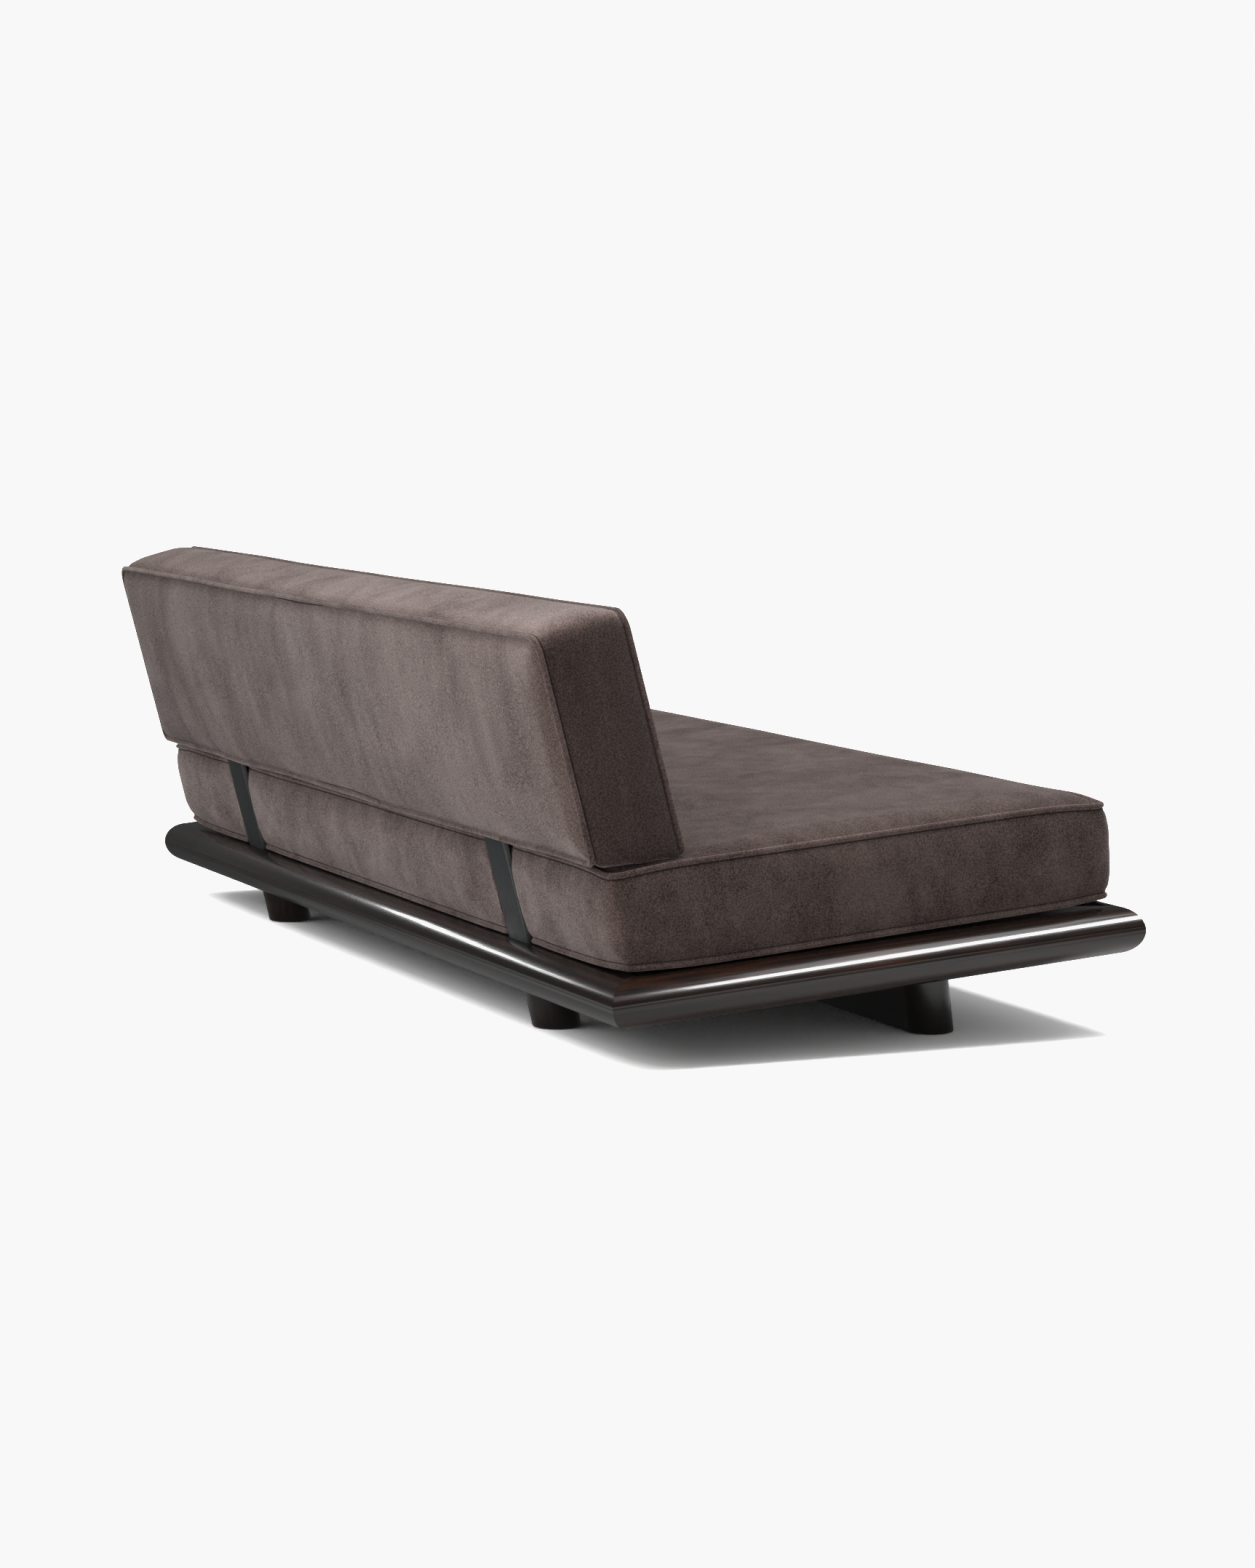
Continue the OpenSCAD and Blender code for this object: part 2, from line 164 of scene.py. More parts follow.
class Colours(bpy.types.PropertyGroup):
    pile_light: StringProperty(
        name="Pile, light", description="Velvet with its nap raised", default="#675752")
    pile_dark: StringProperty(name="Pile, dark", description="Velvet with its nap laid", default="#2E2220")
    stain: StringProperty(name="Stain", description="Darkest colour of the stained wood", default="#14110F")
    grain: StringProperty(name="Grain", description="Colour that shows in the grain", default="#4A2614")
    steel: StringProperty(name="Steel", description="Blackened steel", default="#4E5153")
    floor: StringProperty(name="Floor", description="Studio floor and backdrop", default="#F8F8F8")


def platform_sizes():
    return bpy.context.scene.daybed_platform


def cushion_sizes():
    return bpy.context.scene.daybed_cushions


def colours():
    return bpy.context.scene.daybed_colours


def platform_frame():
    """The platform's own frame: the middle of its underside, z square to the deck, +y to the rear."""
    sizes = platform_sizes()
    drop = sizes.thickness - sizes.deck_thickness / 2
    turn = Matrix.Rotation(-SEAT_TILT, 4, "X")
    return Matrix.Translation(middle("deck_panel")) @ turn @ Matrix.Translation((0, 0, -drop))


def rear_edge():
    return platform_sizes().depth / 2


def post_x():
    return middle("strap_right").x


def seat_level():
    """Height of the mattress's underside over the platform's underside."""
    return platform_sizes().thickness + cushion_sizes().seat_gap


def strap_frame(side):
    """A strap's frame: on the deck at its middle, z up the strap."""
    sizes = platform_sizes()
    foot = (side * post_x(), rear_edge() - sizes.strap_setback, sizes.thickness)
    return platform_frame() @ Matrix.Translation(foot) @ Matrix.Rotation(SEAT_TILT - BACK_TILT, 4, "X")


def back_frame():
    """The back cushion's frame: the middle of its lower rear seam, +y forward, z up its lean."""
    sizes = cushion_sizes()
    level = seat_level() + sizes.mattress_thickness + sizes.seat_gap
    place = Matrix.Translation((0, rear_edge() - sizes.back_setback, level))
    lean = Matrix.Rotation(SEAT_TILT - BACK_TILT, 4, "X")
    return platform_frame() @ place @ lean @ Matrix.Rotation(math.pi, 4, "Z")


# ---------------------------------------------------------------- modelling

def only(obj):
    bpy.ops.object.select_all(action="DESELECT")
    obj.select_set(True)
    bpy.context.view_layer.objects.active = obj


def block(name, low, high):
    """A box between two corners, ready to be shaped."""
    bpy.ops.object.select_all(action="DESELECT")
    low, high = Vector(low), Vector(high)
    bpy.ops.mesh.primitive_cube_add(size=1, location=(low + high) / 2, scale=high - low)
    obj = bpy.context.object
    obj.name = name
    bpy.ops.object.transform_apply(location=True, rotation=True, scale=True)
    return obj


def pick(obj, kind, test):
    """Selects in edit mode the vertices, edges or faces that pass the test."""
    bpy.ops.mesh.select_mode(type=kind)
    bpy.ops.mesh.select_all(action="DESELECT")
    mesh = bmesh.from_edit_mesh(obj.data)
    for element in {"VERT": mesh.verts, "EDGE": mesh.edges, "FACE": mesh.faces}[kind]:
        if test(element):
            element.select_set(True)
    mesh.select_flush_mode()
    bmesh.update_edit_mesh(obj.data)


def along(edge, axis):
    run = edge.verts[1].co - edge.verts[0].co
    return abs(run[axis]) > 0.999 * run.length


def mean(edge, axis):
    return (edge.verts[0].co[axis] + edge.verts[1].co[axis]) / 2


def bevel_edges(obj, test, offset, segments):
    only(obj)
    bpy.ops.object.mode_set(mode="EDIT")
    pick(obj, "EDGE", test)
    bpy.ops.mesh.bevel(offset=offset, segments=segments, affect="EDGES")
    bpy.ops.object.mode_set(mode="OBJECT")


def trim(obj, point, normal):
    """Cuts away what lies beyond a plane and closes the cut."""
    only(obj)
    bpy.ops.object.mode_set(mode="EDIT")
    bpy.ops.mesh.select_all(action="SELECT")
    bpy.ops.mesh.bisect(plane_co=point, plane_no=normal, use_fill=True, clear_outer=True)
    bpy.ops.object.mode_set(mode="OBJECT")


def modify(obj, kind, **settings):
    """Adds a modifier and applies it."""
    only(obj)
    modifier = obj.modifiers.new(kind.title(), kind)
    for name, value in settings.items():
        setattr(modifier, name, value)
    bpy.ops.object.modifier_apply(modifier=modifier.name)


def cut_out(obj, cutters):
    for cutter in cutters:
        modify(obj, "BOOLEAN", operation="DIFFERENCE", solver="EXACT", object=cutter)
        bpy.data.objects.remove(cutter)


def settle_at(obj, matrix):
    """Puts a piece at its place and leaves its object at the origin."""
    only(obj)
    obj.matrix_world = matrix
    bpy.ops.object.transform_apply(location=True, rotation=True, scale=True)


def smooth(obj, degrees=35):
    only(obj)
    bpy.ops.object.shade_smooth_by_angle(angle=math.radians(degrees))


def finish_piece(obj, body, slot, material, *nodes):
    obj.data.materials.clear()
    obj.data.materials.append(material)
    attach(obj, body)
    if nodes:
        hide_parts(*nodes)


# ---------------------------------------------------------------- wooden platform

def mitred_rail(name, length):
    """A rail along x whose half-round outer edge is at y = 0, mitred at both ends."""
    sizes = platform_sizes()
    low = (-length / 2, -sizes.rail_width, 0)
    rail = block(name, low, (length / 2, 0, sizes.thickness))
    bevel_edges(
        rail, lambda e: along(e, 0) and abs(mean(e, 1)) < MM, HALF_ROUND * sizes.thickness, segments=24)
    for side in SIDES:
        trim(rail, (side * length / 2, 0, 0), (side, -1, 0))
    return rail


def ease_mitres(rail, length):
    """Breaks the sharp arris of both mitres, which shows as a fine line at the corner."""
    def on_mitre(vert):
        return abs(abs(vert.co.x) - length / 2 - vert.co.y) < NEAR
    bevel_edges(rail, lambda e: on_mitre(e.verts[0]) and on_mitre(e.verts[1]), offset=0.5 * MM, segments=2)


def strap_slots():
    """Cutters for the two slots in the rear rail, in the world."""
    sizes = platform_sizes()
    half = Vector((sizes.strap_width, sizes.strap_thickness, 0)) / 2 + Vector((SLOT_ROOM, SLOT_ROOM, 0))
    cutters = []
    for side in SIDES:
        slot = block("slot", -half - Vector((0, 0, STRAP_DEPTH + MM)), half + Vector((0, 0, 40 * MM)))
        settle_at(slot, strap_frame(side))
        cutters.append(slot)
    return cutters


def build_rails():
    sizes = platform_sizes()
    places = {
        "rail_rear": (sizes.length, 0, sizes.depth / 2),
        "rail_front": (sizes.length, math.pi, sizes.depth / 2),
        "rail_right": (sizes.depth, -math.pi / 2, sizes.length / 2),
        "rail_left": (sizes.depth, math.pi / 2, sizes.length / 2),
    }
    for node, (length, turn, reach) in places.items():
        rail = mitred_rail("wood_" + node, length)
        ease_mitres(rail, length)
        place = Matrix.Rotation(turn, 4, "Z") @ Matrix.Translation((0, reach, 0))
        settle_at(rail, platform_frame() @ place)
        if node == "rail_rear":
            cut_out(rail, strap_slots())
        smooth(rail)
        grain_axis = "X" if node in ("rail_rear", "rail_front") else "Y"
        finish_piece(rail, "platform", "dark_wood", stained_ash(grain_axis), node)


def underside_point(x, y):
    return platform_frame() @ Vector((x, y, 0))


def cut_to_floor(obj):
    """Trims a leg square to the platform's underside and level over the floor."""
    up = platform_frame().to_3x3() @ Vector((0, 0, 1))
    trim(obj, underside_point(0, 0), up)
    trim(obj, (0, 0, platform_sizes().glide_gap), (0, 0, -1))


def ease_foot(obj):
    """Rounds over the arris at the floor."""
    floor = platform_sizes().glide_gap
    bevel_edges(obj, lambda e: all(abs(v.co.z - floor) < NEAR for v in e.verts), offset=2 * MM, segments=3)


def build_rear_legs():
    sizes = platform_sizes()
    tall = 4 * sizes.leg_diameter
    for side, node in zip(SIDES, ("rear_leg_left", "rear_leg_right")):
        foot = middle("rear_glides")
        foot.x = side * post_x()
        foot.z = 0
        bpy.ops.object.select_all(action="DESELECT")
        bpy.ops.mesh.primitive_cylinder_add(vertices=96, radius=sizes.leg_diameter / 2, depth=tall)
        leg = bpy.context.object
        leg.name = "turned_" + node
        settle_at(leg, Matrix.Translation(foot) @ Matrix.Rotation(-SEAT_TILT - sizes.leg_rake, 4, "X"))
        cut_to_floor(leg)
        ease_foot(leg)
        smooth(leg)
        finish_piece(leg, "platform", "dark_wood", stained_ash("Z"), node)


def build_front_board():
    sizes = platform_sizes()
    half_length = extent("front_beam").x / 2
    half_thick = sizes.beam_thickness / 2
    tall = 4 * sizes.beam_thickness
    board = block("front_leg_board", (-half_length, -half_thick, -tall), (half_length, half_thick, tall))
    bevel_edges(board, lambda e: along(e, 2), HALF_ROUND * sizes.beam_thickness, segments=20)
    foot = middle("front_glides")
    foot.z = 0
    settle_at(board, Matrix.Translation(foot) @ Matrix.Rotation(-SEAT_TILT - sizes.beam_rake, 4, "X"))
    cut_to_floor(board)
    ease_foot(board)
    smooth(board)
    finish_piece(board, "platform", "dark_wood", stained_ash("X"), "front_beam")


# ---------------------------------------------------------------- steel straps

def build_straps():
    sizes = platform_sizes()
    half = Vector((sizes.strap_width, sizes.strap_thickness, 0)) / 2
    for side, node in zip(SIDES, ("strap_left", "strap_right")):
        strap = block("steel_" + node, -half - Vector((0, 0, STRAP_DEPTH)), half + Vector((0, 0, STRAP_RISE)))
        bevel_edges(strap, lambda e: True, offset=1.8 * MM, segments=4)
        settle_at(strap, strap_frame(side))
        smooth(strap)
        finish_piece(strap, "platform", "dark_steel", blackened_steel(), node)


# ---------------------------------------------------------------- upholstery

def smoothstep(value):
    value = min(max(value, 0.0), 1.0)
    return value * value * (3 - 2 * value)


# How far a curve's handles reach towards a corner, for a curve that is almost a circle
ROUND = 0.5523
# Distance between two points along a seam
SEAM_STEP = 3 * MM
# The cloth starts this far inside its own outline, and a seam's middle lies this much deeper than its piping
DRAW_IN = 1 * MM
SEAM_DEPTH = 1 * MM
# Stitching: how far it lies from its seam, its radius, and how far it stands out of the pile
THREAD_OFFSET = 7 * MM
THREAD_RADIUS = 0.5 * MM
THREAD_LIFT = 0.14 * MM


def rounded_loop(corners):
    """Even points round a closed loop of (point, radius) corners, each turned by a curve."""
    curve_points = 8
    path = []
    count = len(corners)
    for i, (corner, radius) in enumerate(corners):
        before = (corners[i - 1][0] - corner).normalized()
        after = (corners[(i + 1) % count][0] - corner).normalized()
        start, end = corner + before * radius, corner + after * radius
        ahead, behind = start.lerp(corner, ROUND), end.lerp(corner, ROUND)
        for k in range(curve_points + 1):
            t = k / curve_points
            u = 1 - t
            path.append(start * u ** 3 + ahead * 3 * u * u * t + behind * 3 * u * t * t + end * t ** 3)
    return even_points(path, SEAM_STEP)


def even_points(path, step):
    """The closed path walked at an even step."""
    closed = path + [path[0]]
    lengths = [(b - a).length for a, b in zip(closed, closed[1:])]
    total = sum(lengths)
    count = int(total / step)
    points, i, run = [], 0, 0.0
    for k in range(count):
        goal = total * k / count
        while run + lengths[i] < goal:
            run += lengths[i]
            i += 1
        points.append(closed[i].lerp(closed[i + 1], (goal - run) / max(lengths[i], 1e-9)))
    return points


def ripple(x, seed, wave, height):
    """A slow, uneven wave along x."""
    return height * noise.noise(Vector((x / wave, 7.3 * seed, 1.7)))


def tree_of(points):
    tree = KDTree(len(points))
    for i, point in enumerate(points):
        tree.insert(point, i)
    tree.balance()
    return tree


def swell(obj, seams, cap):
    """Puffs a closed cushion with cloth under pressure, held along its seams."""
    sizes = cushion_sizes()
    tree = tree_of(seams)
    held = obj.vertex_groups.new(name="seam")
    for vert in obj.data.vertices:
        seam, _, away = tree.find(vert.co)
        # The cloth is drawn to a seam within one cell of the mesh, and most within half a cell
        cells = away / sizes.voxel
        if cells < 1.1:
            vert.co = vert.co.lerp(seam, 0.85 * (1 - smoothstep(1.8 * cells - 0.9)))
            held.add([vert.index], 1.0, "REPLACE")
    start = [v.co.copy() for v in obj.data.vertices]
    only(obj)
    cloth = obj.modifiers.new("Cloth", "CLOTH")
    cloth.settings.quality = 5
    cloth.settings.mass = 0.05
    cloth.settings.tension_stiffness = 15
    cloth.settings.compression_stiffness = 15
    cloth.settings.shear_stiffness = 8
    cloth.settings.bending_stiffness = 2
    cloth.settings.use_pressure = True
    cloth.settings.uniform_pressure_force = sizes.pressure
    cloth.settings.vertex_group_mass = "seam"
    cloth.settings.effector_weights.gravity = 0
    cloth.collision_settings.use_collision = False
    cloth.point_cache.frame_start = 1
    cloth.point_cache.frame_end = sizes.frames
    scene = bpy.context.scene
    for step in range(1, sizes.frames + 1):
        scene.frame_set(step)
    bpy.ops.object.modifier_apply(modifier=cloth.name)
    scene.frame_set(1)
    for vert, rest in zip(obj.data.vertices, start):
        move = vert.co - rest
        if move.length > 0:
            vert.co = rest + move * (cap * math.tanh(move.length / cap) / move.length)
    obj.vertex_groups.clear()
    modify(obj, "SUBSURF", levels=1, render_levels=1)


def plump(obj, seams, rise, reach):
    """Fills the panels out between their seams, by the filling's own give."""
    tree = tree_of(seams)
    normals = [v.normal.copy() for v in obj.data.vertices]
    for vert, normal in zip(obj.data.vertices, normals):
        vert.co += normal * rise * smoothstep(tree.find(vert.co)[2] / reach)


def crease_along(obj, seams, depth, reach):
    """Draws the cloth in beside its seams, most at half the reach."""
    tree = tree_of(seams)
    normals = [v.normal.copy() for v in obj.data.vertices]
    for vert, normal in zip(obj.data.vertices, normals):
        away = tree.find(vert.co)[2]
        if away < reach:
            vert.co -= normal * depth * math.sin(math.pi * away / reach)


def tube(name, loops, radius, rounding=2):
    """A closed round tube along each loop of points."""
    curve = bpy.data.curves.new(name, "CURVE")
    curve.dimensions = "3D"
    curve.bevel_depth = radius
    curve.bevel_resolution = rounding
    curve.use_fill_caps = False
    for loop in loops:
        spline = curve.splines.new("POLY")
        spline.points.add(len(loop) - 1)
        for point, co in zip(spline.points, loop):
            point.co = (*co, 1)
        spline.use_cyclic_u = True
    obj = bpy.data.objects.new(name, curve)
    bpy.context.scene.collection.objects.link(obj)
    only(obj)
    bpy.ops.object.convert(target="MESH")
    obj = bpy.context.object
    only(obj)
    bpy.ops.object.shade_smooth()
    return obj


def surface_of(obj):
    mesh = bmesh.new()
    mesh.from_mesh(obj.data)
    tree = BVHTree.FromBMesh(mesh)
    mesh.free()
    return tree


def seam_thread(surface, loop, shift):
    """A line of thread on the cloth, beside a seam by shift(point)."""
    points = []
    for point in loop:
        near, normal, _, _ = surface.find_nearest(point + shift(point))
        points.append(near + normal * THREAD_LIFT)
    return points


def sew(part, body, loops, surface, place, shifts):
    """Lays piping along each named seam, and beside it one line of stitching for each of its shifts."""
    for name, loop in loops.items():
        piping = tube(f"{part}_piping_{name}", [loop], cushion_sizes().piping / 2)
        settle_at(piping, place)
        finish_piece(piping, body, "velvet", mohair_velvet("piping"), f"{part}_welt_{name}")
        threads = [seam_thread(surface, loop, shift) for shift in shifts(name)]
        stitching = tube(f"{part}_stitching_{name}", threads, THREAD_RADIUS, rounding=1)
        settle_at(stitching, place)
        finish_piece(stitching, body, "velvet", spun_polyester_thread())


# ---- mattress, in the platform's frame

def mattress_edges():
    sizes = cushion_sizes()
    half = extent("mattress_cover").x / 2 + 3 * MM
    front = -rear_edge() + sizes.mattress_front_gap
    low = seat_level()
    return half, front, low, low + sizes.mattress_thickness


def mattress_rear_at(z):
    sizes = cushion_sizes()
    return rear_edge() - sizes.mattress_rear_gap + (z - seat_level()) * math.tan(sizes.mattress_lean)


def notch_at(z):
    """Where the mattress stops in front of a strap, at a height."""
    sizes = platform_sizes()
    lean = math.tan(BACK_TILT - SEAT_TILT)
    strap_middle = rear_edge() - sizes.strap_setback - sizes.strap_thickness / 2
    return strap_middle - 3 * MM + (z - sizes.thickness) * lean


def mattress_seam(z, inset):
    """Corners of the mattress's seam at a height, with a detour round each strap."""
    sizes = cushion_sizes()
    half, front, _, _ = mattress_edges()
    radius = sizes.mattress_radius
    x, y0, y1 = half - inset, front + inset, mattress_rear_at(z) - inset
    corners = [(Vector((-x, y0, z)), radius), (Vector((x, y0, z)), radius), (Vector((x, y1, z)), radius)]
    deep = notch_at(z) - inset
    for side in (1, -1):
        if y1 - deep > 4 * MM:
            for end, y in ((1, y1), (1, deep), (-1, deep), (-1, y1)):
                across = side * post_x() + end * (sizes.notch_width / 2 + inset)
                corners.append((Vector((across, y, z)), 5 * MM))
    corners.append((Vector((-x, y1, z)), radius))
    return corners


def beside_strap(x):
    """Distance along x from the nearer strap's edge."""
    return abs(abs(x) - post_x()) - platform_sizes().strap_width / 2


def lie_of_mattress(point):
    """Small unevenness of a mattress in use: its ends lift a little off the deck, most at the front."""
    half, front, low, high = mattress_edges()
    out = point.copy()
    up = (point.z - low) / (high - low)
    end_lift = smoothstep((abs(point.x) - 0.72 * half) / (0.28 * half))
    forward = smoothstep(0.5 - point.y / 0.8)
    out.z += (2 + 4 * forward) * MM * end_lift * (1 - 0.5 * up)
    out.z += ripple(point.x + 0.3 * point.y, seed=3, wave=0.35, height=2.5 * MM) * up
    out.y += ripple(point.x, seed=5, wave=0.30, height=2.0 * MM) * (0.4 + 0.6 * up)
    # Its corners are a little slack: drawn in, and hanging at the top
    middle_y = (front + mattress_rear_at(point.z)) / 2
    across = max(half - abs(point.x), 0)
    along_y = max((mattress_rear_at(point.z) - front) / 2 - abs(point.y - middle_y), 0)
    slack = math.exp(-(across ** 2 + along_y ** 2) / (75 * MM) ** 2)
    out.z += (4 - 12 * up) * MM * slack
    out.x -= math.copysign((7 - 3 * up) * MM * slack, point.x)
    out.y -= math.copysign((7 - 3 * up) * MM * slack, point.y - middle_y)
    # It is held in by the straps
    held = 1 - smoothstep((beside_strap(point.x) - 20 * MM) / (110 * MM))
    out.y -= 2 * MM * held * smoothstep((point.y - middle_y) / 0.3)
    return out


def press_mattress(obj):
    """Flattens the mattress where it lies on the deck and where the back cushion rests on it."""
    sizes = cushion_sizes()
    _, _, low, high = mattress_edges()
    back_front = rear_edge() - sizes.back_setback - sizes.back_thickness
    for vert in obj.data.vertices:
        co = vert.co
        lift = lie_of_mattress(Vector((co.x, co.y, low))).z - low
        floor = low + max(lift - 1.5 * MM, 0) + 0.3 * MM
        if co.z < floor:
            co.z = floor
        open_seat = 1 - math.exp(-max(back_front - co.y, 0) / (70 * MM))
        roof = high - 1 * MM + 17 * MM * open_seat
        if co.z > roof:
            co.z = roof
        beside = beside_strap(co.x)
        free = smoothstep((beside - 15 * MM) / (130 * MM))
        close = notch_at(co.z) + 12 * MM
        wall = close + (mattress_rear_at(co.z) + 9 * MM - close) * free
        if beside < 3 * MM:
            wall = notch_at(co.z) + 1 * MM
        if co.y > wall and co.z > low + 1 * MM:
            co.y = wall


def build_mattress():
    sizes = cushion_sizes()
    half, front, low, high = mattress_edges()
    rear = mattress_rear_at(high) - DRAW_IN
    lean_back = mattress_rear_at(low) - mattress_rear_at(high)
    cushion = block(
        "mattress", (-half + DRAW_IN, front + DRAW_IN, low + DRAW_IN), (half - DRAW_IN, rear, high - DRAW_IN))
    bpy.ops.object.mode_set(mode="EDIT")
    pick(cushion, "VERT", lambda v: v.co.y > 0 and v.co.z < (low + high) / 2)
    bpy.ops.transform.translate(value=(0, lean_back, 0))
    bpy.ops.object.mode_set(mode="OBJECT")
    bevel_edges(
        cushion, lambda e: abs(mean(e, 0)) > half - 6 * MM and not along(e, 1),
        sizes.mattress_radius, segments=6)
    cutters = []
    for side in SIDES:
        wide = sizes.notch_width / 2 + DRAW_IN
        cutter = block("notch", (-wide, 0, -80 * MM), (wide, 0.2, 0.4))
        lean = Matrix.Rotation(SEAT_TILT - BACK_TILT, 4, "X")
        foot = (side * post_x(), notch_at(low) - DRAW_IN, low)
        settle_at(cutter, Matrix.Translation(foot) @ lean)
        cutters.append(cutter)
    cut_out(cushion, cutters)
    modify(cushion, "REMESH", mode="VOXEL", voxel_size=sizes.voxel)
    for vert in cushion.data.vertices:
        vert.co = lie_of_mattress(vert.co)
    inset = sizes.piping / 2 + SEAM_DEPTH
    loops = {}
    for name, z in (("top", high - inset), ("bottom", low + inset)):
        loops[name] = [lie_of_mattress(p) for p in rounded_loop(mattress_seam(z, inset))]
    seams = loops["top"] + loops["bottom"]
    swell(cushion, seams, cap=22 * MM)
    plump(cushion, seams, rise=6 * MM, reach=45 * MM)
    press_mattress(cushion)
    crease_along(cushion, seams, depth=1.5 * MM, reach=16 * MM)
    smooth(cushion, 60)
    surface = surface_of(cushion)
    settle_at(cushion, platform_frame())
    finish_piece(cushion, "mattress", "velvet", mohair_velvet("mattress"), "mattress_cover", "mattress_foam")

    def over_top(point):
        return (Vector((0, 0, point.z)) - point).normalized() * THREAD_OFFSET + Vector((0, 0, 4 * MM))

    def shifts(name):
        if name == "top":
            return (lambda p: Vector((0, 0, -THREAD_OFFSET)), over_top)
        return (lambda p: Vector((0, 0, THREAD_OFFSET)),)

    sew("mattress", "mattress", loops, surface, platform_frame(), shifts)


# ---- back cushion, in its own frame

def back_half():
    return extent("back_cover").x / 2 + 3 * MM


def back_seam(y, inset):
    """Corners of a seam round the back cushion at a depth y from its rear face."""
    sizes = cushion_sizes()
    bottom = -y * math.tan(BACK_TILT - SEAT_TILT) + inset
    top = sizes.back_height - inset
    x = back_half() - inset
    soft = sizes.corner_radius
    return [
        (Vector((-x, y, bottom)), 15 * MM),
        (Vector((x, y, bottom)), 15 * MM),
        (Vector((x, y, top)), soft),
        (Vector((-x, y, top)), soft),
    ]


def lie_of_back(point):
    """The back cushion's seams wander a little along their length."""
    sizes = cushion_sizes()
    out = point.copy()
    up = point.z / sizes.back_height
    out.z += ripple(point.x, seed=11, wave=0.22, height=4 * MM) * smoothstep(1 - 2.5 * up)
    out.z += ripple(point.x, seed=13, wave=0.45, height=3 * MM) * smoothstep(2 * up - 1)
    out.y += ripple(point.x + 0.4 * point.z, seed=17, wave=0.35, height=2.5 * MM)
    return out


def press_back(obj):
    """Flattens the back cushion's underside where it rests on the mattress."""
    slope = math.tan(BACK_TILT - SEAT_TILT)
    for vert in obj.data.vertices:
        rest = -vert.co.y * slope - 0.2 * MM
        if vert.co.z < rest:
            vert.co.z = rest


def build_back():
    sizes = cushion_sizes()
    slope = math.tan(BACK_TILT - SEAT_TILT)
    half = back_half()
    cushion = block(
        "back_cushion",
        (-half + DRAW_IN, DRAW_IN, DRAW_IN),
        (half - DRAW_IN, sizes.back_thickness - DRAW_IN, sizes.back_height - DRAW_IN))
    bpy.ops.object.mode_set(mode="EDIT")
    pick(cushion, "VERT", lambda v: v.co.y > 20 * MM and v.co.z < 20 * MM)
    bpy.ops.transform.translate(value=(0, 0, -sizes.back_thickness * slope))
    bpy.ops.object.mode_set(mode="OBJECT")
    middle_height = 0.1
    bevel_edges(
        cushion, lambda e: along(e, 1) and mean(e, 2) > middle_height, sizes.corner_radius, segments=6)
    bevel_edges(
        cushion, lambda e: abs(mean(e, 0)) > half - 9 * MM and along(e, 1) and mean(e, 2) < middle_height,
        offset=14 * MM, segments=4)
    modify(cushion, "REMESH", mode="VOXEL", voxel_size=sizes.voxel)
    for vert in cushion.data.vertices:
        vert.co = lie_of_back(vert.co)
    inset = sizes.piping / 2 + SEAM_DEPTH
    loops = {}
    for name, y in (("rear", inset), ("front", sizes.back_thickness - inset)):
        loops[name] = [lie_of_back(p) for p in rounded_loop(back_seam(y, inset))]
    seams = loops["rear"] + loops["front"]
    swell(cushion, seams, cap=16 * MM)
    plump(cushion, seams, rise=5 * MM, reach=45 * MM)
    press_back(cushion)
    crease_along(cushion, seams, depth=1.5 * MM, reach=16 * MM)
    smooth(cushion, 60)
    surface = surface_of(cushion)
    settle_at(cushion, back_frame())
    finish_piece(cushion, "back_cushion", "velvet", mohair_velvet("back"), "back_cover", "back_foam")

    def onto_face(point):
        middle_height = 0.3 * point.z + 0.7 * sizes.back_height / 2
        return (Vector((0, point.y, middle_height)) - point).normalized() * THREAD_OFFSET

    def shifts(name):
        onto_band = Vector((0, THREAD_OFFSET if name == "rear" else -THREAD_OFFSET, 0))
        return (lambda p: onto_band, onto_face)

    sew("back", "back_cushion", loops, surface, back_frame(), shifts)


# ---------------------------------------------------------------- materials

def linear(hex_colour):
    """An sRGB hex colour as linear RGBA."""
    def channel(pair):
        value = int(pair, 16) / 255
        return value / 12.92 if value <= 0.04045 else ((value + 0.055) / 1.055) ** 2.4
    digits = hex_colour.lstrip("#")
    return (*(channel(digits[i:i + 2]) for i in (0, 2, 4)), 1.0)


RGBA = {"data_type": "RGBA"}
MULTIPLY = {"operation": "MULTIPLY"}


def node(tree, kind, settings=(), stops=(), **inputs):
    """Adds a node. Settings are its properties, and stops a ramp's (position, grey) pairs. An input, named or
    numbered as i0, i1 and so on, is a value or another node's socket."""
    new = tree.nodes.new(kind)
    for name, value in dict(settings).items():
        setattr(new, name, value)
    for i, (place, grey) in enumerate(stops):
        band = new.color_ramp.elements
        element = band[i] if i < len(band) else band.new(place)
        element.position = place
        element.color = (grey, grey, grey, 1)
    for name, value in inputs.items():
        key = int(name[1:]) if name[0] == "i" and name[1:].isdigit() else name.replace("_", " ")
        if isinstance(value, bpy.types.NodeSocket):
            tree.links.new(value, new.inputs[key])
        else:
            new.inputs[key].default_value = value
    return new


def begin_material(name):
    """A named material, its empty tree and its object coordinates. Made already, it comes alone."""
    made = bpy.data.materials.get(name)
    if made:
        return made, None, None
    made = bpy.data.materials.new(name)
    made.use_nodes = True
    tree = made.node_tree
    tree.nodes.clear()
    return made, tree, node(tree, "ShaderNodeTexCoord").outputs["Object"]


def close_material(tree, shader):
    node(tree, "ShaderNodeOutputMaterial", Surface=shader.outputs[0])


